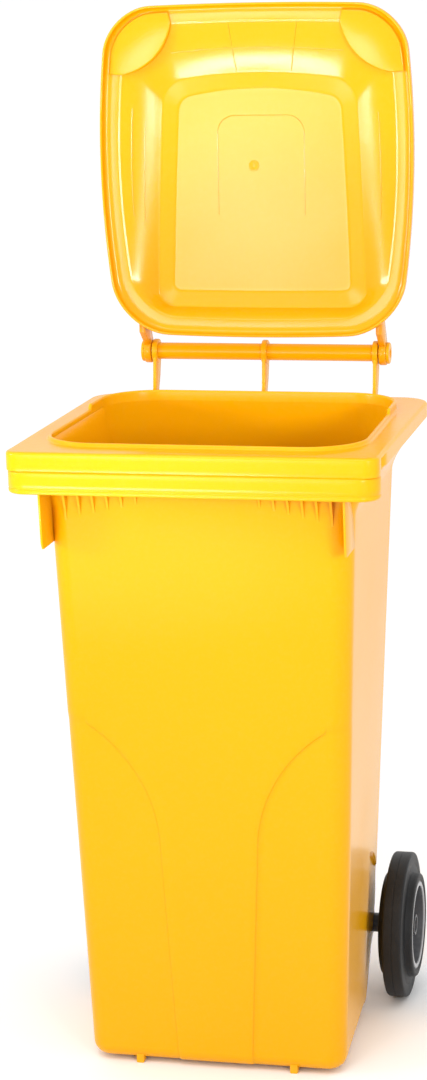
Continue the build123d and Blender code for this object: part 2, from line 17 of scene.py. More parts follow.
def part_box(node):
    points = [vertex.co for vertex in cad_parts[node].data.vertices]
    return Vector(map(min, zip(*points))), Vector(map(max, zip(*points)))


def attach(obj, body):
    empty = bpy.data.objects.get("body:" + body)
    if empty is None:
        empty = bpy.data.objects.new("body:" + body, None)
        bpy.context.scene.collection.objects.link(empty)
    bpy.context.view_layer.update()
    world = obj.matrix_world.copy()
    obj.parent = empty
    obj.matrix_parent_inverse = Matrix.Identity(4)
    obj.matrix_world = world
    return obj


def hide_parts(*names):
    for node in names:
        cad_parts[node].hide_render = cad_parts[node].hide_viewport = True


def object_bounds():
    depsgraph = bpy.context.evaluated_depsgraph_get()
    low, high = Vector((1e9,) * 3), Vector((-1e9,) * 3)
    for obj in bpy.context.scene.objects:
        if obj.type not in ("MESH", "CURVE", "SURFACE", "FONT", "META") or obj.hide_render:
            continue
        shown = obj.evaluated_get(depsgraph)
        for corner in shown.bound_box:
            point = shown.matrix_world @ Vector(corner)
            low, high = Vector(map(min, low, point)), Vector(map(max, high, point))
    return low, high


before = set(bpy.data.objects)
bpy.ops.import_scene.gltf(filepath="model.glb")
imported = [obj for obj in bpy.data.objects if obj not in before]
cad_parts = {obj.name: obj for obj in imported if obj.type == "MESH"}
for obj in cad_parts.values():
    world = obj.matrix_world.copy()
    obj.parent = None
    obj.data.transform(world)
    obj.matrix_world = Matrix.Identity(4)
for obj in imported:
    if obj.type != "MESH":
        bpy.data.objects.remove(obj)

LOG = logging.getLogger("refuse_bin")
MM = 0.001
CAD_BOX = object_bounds()
LIP_FRONT = -263.0                             # front face of the lip as drawn in this file
SHIFT = CAD_BOX[0][1] / MM - LIP_FRONT         # added to this file's Y to give the CAD's
Point = tuple[float, float, float]
Flat = tuple[float, float]


# --- small sums ---------------------------------------------------------------------------------
def middle_of(node: str) -> Flat:
    """Y and z of the middle of a CAD node, as drawn in this file."""
    low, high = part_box(node)
    return (low.y + high.y) / 2 / MM - SHIFT, (low.z + high.z) / 2 / MM


def mix(a: float, b: float, t: float) -> float:
    """Value between a and b at t from 0 to 1."""
    return a + (b - a) * t


def smooth(low: float, high: float, value: float) -> float:
    """Smooth step from 0 at low to 1 at high."""
    t = min(1.0, max(0.0, (value - low) / (high - low)))
    return t * t * (3.0 - 2.0 * t)


def spread(low: float, high: float, count: int) -> list[float]:
    """Evenly spaced values from low to high, both included."""
    return [mix(low, high, i / (count - 1)) for i in range(count)]


def fillet(corner: Flat, before: Flat, after: Flat, radius: float, steps: int) -> list[Flat]:
    """Points of the arc that rounds a corner.

    Args:
        corner: the sharp corner.
        before: a point on the side that the arc leaves.
        after: a point on the side that the arc reaches.
        radius: the arc's radius.
        steps: how many pieces the arc has.

    Returns:
        steps + 1 points, from the side of before to the side of after.
    """
    at = Vector(corner)
    a = (Vector(before) - at).normalized()
    b = (Vector(after) - at).normalized()
    angle = a.angle(b)
    reach = radius / math.tan(angle / 2)
    centre = at + (a + b).normalized() * (radius / math.sin(angle / 2))
    first = at + a * reach - centre
    last = at + b * reach - centre
    turn = math.pi - angle
    points = []
    for i in range(steps + 1):
        t = i / steps
        arm = (first * math.sin((1 - t) * turn) + last * math.sin(t * turn)) / math.sin(turn)
        points.append(tuple(centre + arm))
    return points


def circle_height(points: Sequence[Flat], x: float) -> float:
    """Height, at x, of the upper half of the circle through three points."""
    (ax, ay), (bx, by), (cx, cy) = points
    d = 2 * (ax * (by - cy) + bx * (cy - ay) + cx * (ay - by))
    a2, b2, c2 = ax * ax + ay * ay, bx * bx + by * by, cx * cx + cy * cy
    ux = (a2 * (by - cy) + b2 * (cy - ay) + c2 * (ay - by)) / d
    uy = (a2 * (cx - bx) + b2 * (ax - cx) + c2 * (bx - ax)) / d
    radius = math.hypot(ax - ux, ay - uy)
    return uy + math.sqrt(max(0.0, radius * radius - (x - ux) ** 2))


def arc(centre: Flat, radius: float, start: float, end: float, steps: int) -> list[Flat]:
    """Points on an arc, its angles in degrees."""
    return [
        (centre[0] + radius * math.cos(math.radians(a)), centre[1] + radius * math.sin(math.radians(a)))
        for a in spread(start, end, steps + 1)
    ]


# --- meshes -------------------------------------------------------------------------------------
@dataclass
class Shells:
    """Closed shells, in millimetres, that together make one piece."""

    points: list[Point] = field(default_factory=list)
    faces: list[tuple[int, ...]] = field(default_factory=list)

    def add(self, points: Iterable[Point], faces: Iterable[Sequence[int]]) -> None:
        """Add one closed shell.

        Args:
            points: its vertices.
            faces: its faces, as indices into points.
        """
        start = len(self.points)
        self.points.extend(points)
        self.faces.extend(tuple(start + i for i in face) for face in faces)

    def add_sweep(self, loops: Sequence[Sequence[Point]], ring: bool = False) -> None:
        """Add a closed profile that is carried along a path.

        Args:
            loops: the profile at each station of the path, all of one length.
            ring: whether the last station joins the first; otherwise both ends are capped.
        """
        width = len(loops[0])
        points = [p for loop in loops for p in loop]
        faces: list[Sequence[int]] = []
        stations = len(loops) if ring else len(loops) - 1
        for i in range(stations):
            j = (i + 1) % len(loops)
            for k in range(width):
                m = (k + 1) % width
                faces.append((i * width + k, i * width + m, j * width + m, j * width + k))
        if not ring:
            faces.append(tuple(range(width)))
            faces.append(tuple(range(len(points) - width, len(points)))[::-1])
        self.add(points, faces)

    def add_turned(self, profile: Sequence[Flat], y: float, z: float, steps: int) -> None:
        """Add a shape turned about an axle along X.

        Args:
            profile: closed outline of (x, radius) points, none of them on the axis.
            y: the axis, front to rear.
            z: the axis, up.
            steps: how many stations the turn has.
        """
        loops = []
        for i in range(steps):
            turn = 2 * math.pi * i / steps
            loops.append([(x, y + r * math.sin(turn), z + r * math.cos(turn)) for x, r in profile])
        self.add_sweep(loops, ring=True)

    def add_plate(self, outline: Sequence[Flat], low: float, high: float, edge: float) -> None:
        """Add an upright plate across X with softened edges.

        Args:
            outline: its (y, z) corners.
            low: x of one face.
            high: x of the other face.
            edge: how much its edges are rounded.
        """
        inner = shrink(outline, edge)
        half = shrink(outline, edge * 0.3)
        loops = [
            [(low, y, z) for y, z in inner],
            [(low + edge * 0.3, y, z) for y, z in half],
            [(low + edge, y, z) for y, z in outline],
            [(high - edge, y, z) for y, z in outline],
            [(high - edge * 0.3, y, z) for y, z in half],
            [(high, y, z) for y, z in inner],
        ]
        self.add_sweep(loops)

    def add_ball_tube(self, path: Sequence[Point], radius: float, sides: int = 12) -> None:
        """Add a round bar along a path.

        Args:
            path: the bar's middle line.
            radius: its radius.
            sides: how many sides it has.
        """
        loops = []
        for i, here in enumerate(path):
            ahead = Vector(path[min(i + 1, len(path) - 1)])
            behind = Vector(path[max(i - 1, 0)])
            along = (ahead - behind).normalized()
            side = along.orthogonal().normalized()
            up = along.cross(side)
            loops.append([
                tuple(Vector(here) + (side * math.cos(a) + up * math.sin(a)) * radius)
                for a in (2 * math.pi * k / sides for k in range(sides))
            ])
        self.add_sweep(loops)

    def mirrored(self) -> "Shells":
        """The same shells on the other side of the bin."""
        return Shells([(-x, y, z) for x, y, z in self.points], [face[::-1] for face in self.faces])

    def make(self, name: str, sharp: float = 38.0) -> bpy.types.Object:
        """Make the piece's object.

        Args:
            name: the piece's name.
            sharp: edges turn sharp past this many degrees.

        Returns:
            An object at the origin, in metres, with its faces turned outwards.
        """
        mesh = bpy.data.meshes.new(name)
        mesh.from_pydata([(x * MM, (y + SHIFT) * MM, z * MM) for x, y, z in self.points], [], self.faces)
        work = bmesh.new()
        work.from_mesh(mesh)
        bmesh.ops.dissolve_degenerate(work, dist=1e-6, edges=work.edges[:])
        bmesh.ops.recalc_face_normals(work, faces=work.faces[:])
        work.to_mesh(mesh)
        work.free()
        mesh.shade_smooth()
        mesh.set_sharp_from_angle(angle=math.radians(sharp))
        piece = bpy.data.objects.new(name, mesh)
        bpy.context.scene.collection.objects.link(piece)
        return piece


@dataclass
class GridFill:
    """Fills a closed ring of matching halves with a grid, like a sheet stretched in a frame."""

    half: int
    across: int

    def border(self, i: int, j: int) -> int | None:
        """Ring index of the grid place i, j, or None where the place is inside."""
        side, along = abs(i), self.half - 2 * self.across
        if j == 0:
            found = side
        elif j == along:
            found = self.half - side
        elif side == self.across:
            found = self.across + j
        else:
            return None
        return found if i >= 0 or found in (0, self.half) else 2 * self.half - found

    def fill(
        self, ring: Sequence[Point], start: int, fresh: int, height: Callable[[float, float], float]
    ) -> tuple[list[Point], list[tuple[int, ...]]]:
        """Make the grid.

        Args:
            ring: the ring's points, right half first.
            start: index of the ring's first point.
            fresh: index that the first new point will have.
            height: third coordinate of a new point from its first two.

        Returns:
            The new points and all the faces.
        """
        across, along = self.across, self.half - 2 * self.across
        ends = ((-across, 0), (across, 0), (-across, along), (across, along))
        corners = [ring[self.border(a, b)] for a, b in ends]
        index: dict[tuple[int, int], int] = {}
        points: list[Point] = []
        for j in range(along + 1):
            for i in range(-across, across + 1):
                found = self.border(i, j)
                if found is not None:
                    index[i, j] = start + found
                    continue
                u, v = (i + across) / (2 * across), j / along
                left, right = ring[self.border(-across, j)], ring[self.border(across, j)]
                low, high = ring[self.border(i, 0)], ring[self.border(i, along)]
                spot = [
                    mix(left[k], right[k], u) + mix(low[k], high[k], v)
                    - mix(mix(corners[0][k], corners[1][k], u), mix(corners[2][k], corners[3][k], u), v)
                    for k in (0, 1)
                ]
                index[i, j] = fresh + len(points)
                points.append((spot[0], spot[1], height(spot[0], spot[1])))
        faces = [
            (index[i, j], index[i, j + 1], index[i + 1, j + 1], index[i + 1, j])
            for j in range(along)
            for i in range(-across, across)
        ]
        return points, faces


def capped(
    rings: Sequence[Sequence[Point]], grid: GridFill, heights: Sequence[Callable[[float, float], float]]
) -> Shells:
    """One closed shell from a stack of rings, its first and last ring filled with grids.

    Args:
        rings: the rings in order, all of one length.
        grid: how the end rings are filled.
        heights: height rules of the first and the last fill.

    Returns:
        The shell.
    """
    width = len(rings[0])
    points = [p for ring in rings for p in ring]
    faces: list[tuple[int, ...]] = []
    for i in range(len(rings) - 1):
        for k in range(width):
            m = (k + 1) % width
            faces.append((i * width + k, i * width + m, (i + 1) * width + m, (i + 1) * width + k))
    for ring, start, height in ((rings[0], 0, heights[0]), (rings[-1], width * (len(rings) - 1), heights[1])):
        more, filled = grid.fill(ring, start, len(points), height)
        points += more
        faces += filled
    shells = Shells()
    shells.add(points, faces)
    return shells


def shrink(outline: Sequence[Flat], by: float) -> list[Flat]:
    """A convex-cornered outline drawn in by a distance, corner by corner."""
    area = sum(a[0] * b[1] - b[0] * a[1] for a, b in zip(outline, [*outline[1:], outline[0]]))
    turn = 1.0 if area > 0 else -1.0
    result = []
    for i, here in enumerate(outline):
        at = Vector(here)
        a = (at - Vector(outline[i - 1])).normalized()
        b = (Vector(outline[(i + 1) % len(outline)]) - at).normalized()
        inward = Vector((-a[1] - b[1], a[0] + b[0])) * turn
        share = max(0.35, 1 + a.dot(b))
        result.append(tuple(at + inward * (by / share)))
    return result


def dress(piece: bpy.types.Object, finish: "Finish", body: str, *nodes: str) -> None:
    """Give a piece its finish, its body and the CAD nodes that it stands for.

    Args:
        piece: the finished object.
        finish: what it is made of.
        body: the CAD body that it moves with.
        nodes: the CAD nodes that it replaces.
    """
    piece.data.materials.clear()
    piece.data.materials.append(finish.material())
    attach(piece, body)
    if nodes:
        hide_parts(*nodes)
    LOG.info("%s: %d faces on %s", piece.name, len(piece.data.polygons), body)


# --- shader groups ------------------------------------------------------------------------------
class GroupMaker:
    """Builds one shader node group with named inputs and outputs."""

    def __init__(self, name: str, inputs: dict[str, float], outputs: dict[str, str]) -> None:
        """Start the group.

        Args:
            name: the group's name.
            inputs: its number inputs and their defaults.
            outputs: its outputs and their socket types.
        """
        self.tree = bpy.data.node_groups.new(name, "ShaderNodeTree")
        for label, default in inputs.items():
            socket = self.tree.interface.new_socket(label, in_out="INPUT", socket_type="NodeSocketFloat")
            socket.default_value = default
        for label, kind in outputs.items():
            self.tree.interface.new_socket(label, in_out="OUTPUT", socket_type=kind)
        self.source = self.tree.nodes.new("NodeGroupInput")
        self.sink = self.tree.nodes.new("NodeGroupOutput")
        self.place = self.tree.nodes.new("ShaderNodeTexCoord").outputs["Object"]

    def noise(self, scale: float, detail: float, roughness: float) -> bpy.types.NodeSocket:
        """A noise texture on Object coordinates, as its value."""
        node = self.tree.nodes.new("ShaderNodeTexNoise")
        node.inputs["Scale"].default_value = scale
        node.inputs["Detail"].default_value = detail
        node.inputs["Roughness"].default_value = roughness
        self.tree.links.new(self.place, node.inputs["Vector"])
        return node.outputs["Fac"]

    def window(self, value: bpy.types.NodeSocket, low: float, high: float) -> bpy.types.NodeSocket:
        """A value stretched so that low becomes 0 and high becomes 1."""
        node = self.tree.nodes.new("ShaderNodeMapRange")
        node.inputs["From Min"].default_value = low
        node.inputs["From Max"].default_value = high
        self.tree.links.new(value, node.inputs["Value"])
        return node.outputs["Result"]

    def math(self, kind: str, a: object, b: object) -> bpy.types.NodeSocket:
        """One sum of two values, each a socket or a number."""
        node = self.tree.nodes.new("ShaderNodeMath")
        node.operation = kind
        for slot, value in zip(node.inputs, (a, b)):
            if isinstance(value, (int, float)):
                slot.default_value = value
            else:
                self.tree.links.new(value, slot)
        return node.outputs["Value"]

    def give(self, label: str, value: bpy.types.NodeSocket) -> None:
        """Put a value out of the group."""
        self.tree.links.new(value, self.sink.inputs[label])


class Effects(Enum):
    """Shader groups that several finishes share."""

    GRAIN = "moulded grain"
    WEAR = "edge wear"
    DUST = "settled dust"

    def group(self) -> bpy.types.NodeTree:
        """This effect's node group, built the first time it is asked for."""
        found = bpy.data.node_groups.get(self.value)
        if found:
            return found
        return {Effects.GRAIN: build_grain, Effects.WEAR: build_wear, Effects.DUST: build_dust}[self]()


def build_grain() -> bpy.types.NodeTree:
    """Fine moulded skin over a slow ripple, as a height and a slow tint mask."""
    maker = GroupMaker(
        Effects.GRAIN.value,
        {"Fine": 1.0, "Ripple": 1.0},
        {"Height": "NodeSocketFloat", "Tint": "NodeSocketFloat"},
    )
    fine = maker.math("MULTIPLY", maker.noise(900.0, 2.0, 0.6), maker.source.outputs["Fine"])
    slow = maker.math("MULTIPLY", maker.noise(9.0, 1.5, 0.4), maker.source.outputs["Ripple"])
    maker.give("Height", maker.math("ADD", fine, slow))
    maker.give("Tint", maker.window(maker.noise(4.0, 2.0, 0.5), 0.32, 0.68))
    return maker.tree


def build_wear() -> bpy.types.NodeTree:
    """Mask that is strong on outside edges, broken up by noise."""
    maker = GroupMaker(Effects.WEAR.value, {"Amount": 1.0}, {"Mask": "NodeSocketFloat"})
    geometry = maker.tree.nodes.new("ShaderNodeNewGeometry")
    edges = maker.window(geometry.outputs["Pointiness"], 0.52, 0.62)
    broken = maker.math("MULTIPLY", edges, maker.window(maker.noise(60.0, 4.0, 0.65), 0.35, 0.7))
    maker.give("Mask", maker.math("MULTIPLY", broken, maker.source.outputs["Amount"]))
    return maker.tree


def build_dust() -> bpy.types.NodeTree:
    """Mask of fine dust that lies thicker where a face looks up."""
    maker = GroupMaker(Effects.DUST.value, {"Amount": 1.0}, {"Mask": "NodeSocketFloat"})
    geometry = maker.tree.nodes.new("ShaderNodeNewGeometry")
    split = maker.tree.nodes.new("ShaderNodeSeparateXYZ")
    maker.tree.links.new(geometry.outputs["Normal"], split.inputs["Vector"])
    facing = maker.window(split.outputs["Z"], -0.4, 1.0)
    specks = maker.window(maker.noise(140.0, 5.0, 0.7), 0.45, 0.75)
    soft = maker.math("ADD", maker.math("MULTIPLY", facing, 0.5), 0.5)
    both = maker.math("MULTIPLY", specks, soft)
    maker.give("Mask", maker.math("MULTIPLY", both, maker.source.outputs["Amount"]))
    return maker.tree


# --- finishes -----------------------------------------------------------------------------------
@dataclass(frozen=True)
class Finish:
    """One moulded, rubber or metal surface: colour, gloss, grain, worn edges and dust."""

    name: str
    slot: str
    colour: Point
    deep: Point
    worn: Point
    roughness: float
    dusty: Point = (0.62, 0.60, 0.56)
    metallic: float = 0.0
    specular: float = 0.5
    fine: float = 0.12
    ripple: float = 1.0
    relief: float = 0.0005
    wear: float = 0.25
    dust: float = 0.08

    def material(self) -> bpy.types.Material:
        """The finish's material, built the first time it is asked for."""
        return bpy.data.materials.get(self.name) or self.build()

    def build(self) -> bpy.types.Material:
        """Build the material.

        Returns:
            A material whose colour, roughness and bump come from the shared shader groups.
        """
        material = bpy.data.materials.new(self.name)
        material.use_nodes = True
        tree = material.node_tree
        shader = tree.nodes["Principled BSDF"]
        shader.inputs["Metallic"].default_value = self.metallic
        shader.inputs["Specular IOR Level"].default_value = self.specular
        grain = self.effect(tree, Effects.GRAIN, {"Fine": self.fine, "Ripple": self.ripple})
        wear = self.effect(tree, Effects.WEAR, {"Amount": self.wear})
        dust = self.effect(tree, Effects.DUST, {"Amount": self.dust})
        colour = self.blend(tree, grain.outputs["Tint"], self.colour, self.deep)
        colour = self.blend(tree, wear.outputs["Mask"], colour, self.worn)
        colour = self.blend(tree, dust.outputs["Mask"], colour, self.dusty)
        tree.links.new(colour, shader.inputs["Base Color"])
        rough = tree.nodes.new("ShaderNodeMapRange")
        rough.inputs["To Min"].default_value = self.roughness * 0.9
        rough.inputs["To Max"].default_value = min(1.0, self.roughness * 1.15)
        tree.links.new(grain.outputs["Tint"], rough.inputs["Value"])
        rubbed = tree.nodes.new("ShaderNodeMath")
        rubbed.operation = "MULTIPLY_ADD"
        rubbed.inputs[1].default_value = 0.35
        tree.links.new(dust.outputs["Mask"], rubbed.inputs[0])
        tree.links.new(rough.outputs["Result"], rubbed.inputs[2])
        tree.links.new(rubbed.outputs["Value"], shader.inputs["Roughness"])
        bump = tree.nodes.new("ShaderNodeBump")
        bump.inputs["Strength"].default_value = 1.0
        bump.inputs["Distance"].default_value = self.relief
        tree.links.new(grain.outputs["Height"], bump.inputs["Height"])
        tree.links.new(bump.outputs["Normal"], shader.inputs["Normal"])
        return material

    @staticmethod
    def effect(tree: bpy.types.NodeTree, kind: Effects, values: dict[str, float]) -> bpy.types.Node:
        """Place a shared effect in a material.

        Args:
            tree: the material's nodes.
            kind: which effect.
            values: this material's own values for its inputs.

        Returns:
            The placed group node.
        """
        node = tree.nodes.new("ShaderNodeGroup")
        node.node_tree = kind.group()
        for label, value in values.items():
            node.inputs[label].default_value = value
        return node

    @staticmethod
    def blend(
        tree: bpy.types.NodeTree, mask: bpy.types.NodeSocket, a: object, b: object
    ) -> bpy.types.NodeSocket:
        """Blend two colours by a mask.

        Args:
            tree: the material's nodes.
            mask: 0 for a, 1 for b.
            a: a colour or a colour socket.
            b: a colour or a colour socket.

        Returns:
            The blended colour's socket.
        """
        node = tree.nodes.new("ShaderNodeMix")
        node.data_type = "RGBA"
        tree.links.new(mask, node.inputs["Factor"])
        for slot, value in ((node.inputs[6], a), (node.inputs[7], b)):
            if isinstance(value, bpy.types.NodeSocket):
                tree.links.new(value, slot)
            else:
                slot.default_value = (*value, 1.0)
        return node.outputs[2]


YELLOW_BODY = Finish(
    "yellow polyethylene body", "yellow_body", (0.80, 0.37, 0.0), (0.785, 0.36, 0.0),
    (0.86, 0.50, 0.10), 0.22, specular=0.18, dusty=(0.80, 0.52, 0.20),
    fine=0.05, relief=0.0006, wear=0.2, dust=0.06,
)
YELLOW_LID = Finish(
    "yellow polyethylene lid", "yellow_lid", (0.77, 0.32, 0.0), (0.755, 0.31, 0.0),
    (0.84, 0.48, 0.12), 0.16, specular=0.24, dusty=(0.80, 0.52, 0.20),
    fine=0.04, relief=0.0009, wear=0.2, dust=0.05,
)
BLACK_RUBBER = Finish(
    "solid black rubber", "tyre_rubber", (0.009, 0.009, 0.0095), (0.014, 0.014, 0.0145),
    (0.045, 0.045, 0.045), 0.5, specular=0.25, dusty=(0.05, 0.05, 0.05),
    fine=0.8, relief=0.0004, wear=0.4, dust=0.2,
)
WHEEL_PLASTIC = Finish(
    "satin wheel plastic", "wheel_plastic", (0.05, 0.05, 0.055), (0.065, 0.065, 0.07),
    (0.18, 0.18, 0.18), 0.38, dusty=(0.2, 0.2, 0.2), fine=0.3, relief=0.0003, wear=0.5, dust=0.2,
)
BLACK_PLASTIC = Finish(
    "satin black plastic", "black_plastic", (0.018, 0.018, 0.02), (0.028, 0.028, 0.03),
    (0.12, 0.12, 0.12), 0.4, dusty=(0.18, 0.18, 0.18), fine=0.3, relief=0.0003, wear=0.4, dust=0.2,
)
# Pale grey: the lock plungers' own colour, and a painted highlight where it colours the ring on each rim's
# outer edge.
PALE_GREY_PLASTIC_AND_PAINTED_HIGHLIGHT = Finish(
    "light grey plastic", "grey_plastic", (0.42, 0.42, 0.43), (0.36, 0.36, 0.37),
    (0.7, 0.7, 0.7), 0.4, fine=0.3, relief=0.0002, wear=0.4, dust=0.2,
)
ZINC_STEEL = Finish(
    "zinc plated steel", "axle_steel", (0.60, 0.61, 0.62), (0.50, 0.51, 0.53),
    (0.75, 0.75, 0.75), 0.3, metallic=1.0, fine=0.4, relief=0.0001, wear=0.3, dust=0.15,
)
SPRING_WIRE = Finish(
    "drawn spring wire", "spring_steel", (0.55, 0.55, 0.56), (0.45, 0.45, 0.46),
    (0.7, 0.7, 0.7), 0.32, metallic=1.0, fine=0.3, relief=0.0001, wear=0.2, dust=0.1,
)


# --- plan outlines ------------------------------------------------------------------------------
class Columns(Enum):
    """How many pieces each stretch of a half outline has, from the front's middle to the rear's."""

    FRONT = 10
    STEP = 4
    APPROACH = 11
    CORNER = 12
    SIDE = 22
    MARK = 5
    BACK = 30
    REAR_CORNER = 14
    REAR = 24


ORDER = list(Columns.__members__.values())
HALF = sum(part.value for part in ORDER)
FRONT_HALF = Columns.FRONT.value + Columns.STEP.value + Columns.APPROACH.value + Columns.CORNER.value // 2


@dataclass
class PlanOutline:
    """Rounded trapezoid seen from above; its columns keep to the same features at every height."""

    half_front: float
    half_rear: float
    y_front: float
    y_rear: float
    r_front: float
    r_rear: float
    x_step: float = 60.0
    step_width: float = 1.2
    drop: float = 0.0
    y_mark: float = 45.0
    mark_width: float = 1.5

    def __post_init__(self) -> None:
        """Work out the two corners."""
        front = self.y_front + self.drop
        self.front_arc = fillet(
            (self.half_front, front), (0.0, front), (self.half_rear, self.y_rear), self.r_front,
            Columns.CORNER.value,
        )
        self.rear_arc = fillet(
            (self.half_rear, self.y_rear), (self.half_front, front), (0.0, self.y_rear), self.r_rear,
            Columns.REAR_CORNER.value,
        )
        limit = self.front_arc[0][0] - self.step_width - 2.0
        self.x_step = min(self.x_step, limit)

    def on_side(self, y: float) -> Flat:
        """Point of the straight side at y."""
        a, b = self.front_arc[-1], self.rear_arc[0]
        return mix(a[0], b[0], (y - a[1]) / (b[1] - a[1])), y

    def point(self, column: int) -> Flat:
        """Point of the outline at a column, 0 to HALF.

        Args:
            column: counted from the front's middle.

        Returns:
            Its x and y.
        """
        for part in ORDER:
            if column <= part.value:
                break
            column -= part.value
        t = column / part.value
        front, low, high = self.y_front, self.x_step - self.step_width, self.x_step + self.step_width
        if part is Columns.FRONT:
            return low * t, front
        if part is Columns.STEP:
            return mix(low, high, t), front + self.drop * smooth(0, 1, t)
        if part is Columns.APPROACH:
            return mix(high, self.front_arc[0][0], t), front + self.drop
        if part is Columns.CORNER:
            return self.front_arc[column]
        if part is Columns.SIDE:
            return self.on_side(mix(self.front_arc[-1][1], self.y_mark - self.mark_width, t))
        if part is Columns.MARK:
            return self.on_side(mix(self.y_mark - self.mark_width, self.y_mark + self.mark_width, t))
        if part is Columns.BACK:
            return self.on_side(mix(self.y_mark + self.mark_width, self.rear_arc[0][1], t))
        if part is Columns.REAR_CORNER:
            return self.rear_arc[column]
        return mix(self.rear_arc[-1][0], 0.0, t), self.y_rear


def behind_mark(column: int) -> float:
    """0 in front of the marked line on the side, 1 behind it, with a short ramp over it."""
    first = sum(part.value for part in ORDER[: ORDER.index(Columns.MARK)])
    return smooth(0, 1, (column - first) / Columns.MARK.value)


def whole_ring(half: Sequence[Point]) -> list[Point]:
    """A half ring and its mirror image, as one closed ring."""
    return [*half, *[(-x, y, z) for x, y, z in half[-2:0:-1]]]


# --- tub, rim and lip ---------------------------------------------------------------------------
@dataclass
class Tub:
    """Tapered tub with the rim round its mouth, as one moulded wall."""

    base: float = 5.0
    flare_start: float = 760.0
    skirt_bottom: float = 828.0
    flange_top: float = 848.0
    wall: float = 4.0
    half_front: Flat = (174.0, 198.0)
    half_rear: Flat = (158.0, 193.0)
    y_front: Flat = (-180.0, -210.0)
    y_rear: Flat = (169.0, 180.0)
    corner_front: float = 26.0
    corner_rear: float = 46.0
    rim_half: float = 238.2
    rim_front: float = -259.7
    rim_rear: float = 204.8
    rim_corner_front: float = 17.7
    rim_corner_rear: float = 42.0
    rim_edge: float = 4.0
    mouth_half: Flat = (206.0, 201.0)
    mouth_y: Flat = (-212.0, 160.0)
    mouth_corner: float = 72.0
    base_round: float = 18.0
    heel_round: float = 4.0
    heel_start: float = 56.0
    heel_slope: float = 1.651
    step_x: Flat = (50.0, 65.0)
    step_arc: tuple[float, float, float] = (265.0, 310.0, 200.0)
    step_depth: float = 2.5
    step_fade: Flat = (476.0, 492.0)
    pocket_half: float = 165.0
    pocket_y: float = 45.0
    pocket_bottom: float = 62.0
    pocket_top: float = 235.0
    pocket_arc: tuple[Flat, Flat] = ((111.3, 204.4), (152.0, 150.0))
    plans: dict[tuple[float, float], PlanOutline] = field(default_factory=dict)

    def floor(self, y: float) -> float:
        """Height of the underside: flat, then rising along the heel."""
        rise = (y - self.heel_start) * self.heel_slope
        return self.base + 0.5 * (rise + math.sqrt(rise * rise + 36.0)) - 0.05

    def arch(self, y: float) -> float:
        """Height of the wheel pocket's upper edge."""
        if y <= self.pocket_y:
            return self.pocket_top
        points = [(self.pocket_y, self.pocket_top), *self.pocket_arc]
        return circle_height(points, min(y, self.pocket_arc[1][0]))

    def height(self, level: float, y: float) -> float:
        """Height of a row at y; rows follow the heel and the pocket's arch.

        Args:
            level: the row's height in front of the pocket.
            y: where on the tub.

        Returns:
            The row's height there.
        """
        low = self.floor(y)
        straight = self.step_arc[1]
        if level >= straight:
            return level
        bend = max(self.arch(y), low + 0.35 * (straight - low))
        if level >= self.pocket_top:
            return mix(bend, straight, (level - self.pocket_top) / (straight - self.pocket_top))
        return mix(low, bend, (level - self.base) / (self.pocket_top - self.base))

    def step_line(self, z: float) -> tuple[float, float]:
        """Where the corner step runs at a height, and how wide its ramp is across X."""
        x, top, radius = self.step_arc
        if z <= top:
            return mix(*self.step_x, max(0.0, z - self.base) / (top - self.base)), 1.3
        rise = min(z, top + 0.93 * radius) - top
        run = math.sqrt(radius * radius - rise * rise)
        return x - run, 1.3 * math.hypot(1.0, rise / run)

    def outline(self, z: float, inset: float) -> PlanOutline:
        """Plan of the wall at height z, drawn in by inset, kept once it has been worked out."""
        key = (round(z, 3), round(inset, 3))
        if key not in self.plans:
            self.plans[key] = self.new_outline(*key)
        return self.plans[key]

    def new_outline(self, z: float, inset: float) -> PlanOutline:
        """Work out the plan of the wall at height z, drawn in by inset."""
        t = min(1.0, max(0.0, (z - self.base) / (self.flare_start - self.base)))
        out = max(0.0, (z - self.flare_start) / (self.skirt_bottom - self.flare_start))
        out = min(1.0, out) ** 1.5
        x_step, width = self.step_line(z)
        return PlanOutline(
            mix(mix(*self.half_front, t), self.rim_half, out) - inset,
            mix(mix(*self.half_rear, t), self.rim_half, out) - inset,
            mix(*self.y_front, t) + inset,
            mix(mix(*self.y_rear, t), self.rim_rear, out) - inset,
            max(4.0, self.corner_front - inset),
            max(4.0, mix(self.corner_rear, self.rim_corner_rear, out) - inset),
            x_step,
            width,
            self.step_depth * (1.0 - smooth(*self.step_fade, z)),
            self.pocket_y,
        )

    def wall_point(self, column: int, level: float, z: float, inset: float) -> Point:
        """One point of the wall, with the wheel pocket pressed in.

        Args:
            column: the outline's column.
            level: the row, for the pocket's upper edge.
            z: the point's height.
            inset: how far inside the outer face it lies.

        Returns:
            The point.
        """
        x, y = self.outline(z, inset).point(column)
        edge = 1.0 - smooth(self.pocket_top - 2.0, self.pocket_top + 2.0, level)
        inside = behind_mark(column) * edge * smooth(self.pocket_bottom - 3.0, self.pocket_bottom + 3.0, z)
        inside *= 1.0 - smooth(self.pocket_arc[1][0] - 12.0, self.pocket_arc[1][0], y)
        return mix(x, min(x, self.pocket_half - inset), inside), y, z

    def row(self, level: float, inset: float = 0.0) -> list[Point]:
        """A ring of the wall at a row."""
        guide = self.outline(min(level, 300.0), inset)
        half = []
        for column in range(HALF + 1):
            y = guide.point(column)[1]
            half.append(self.wall_point(column, level, self.height(level, y), inset))
        return whole_ring(half)

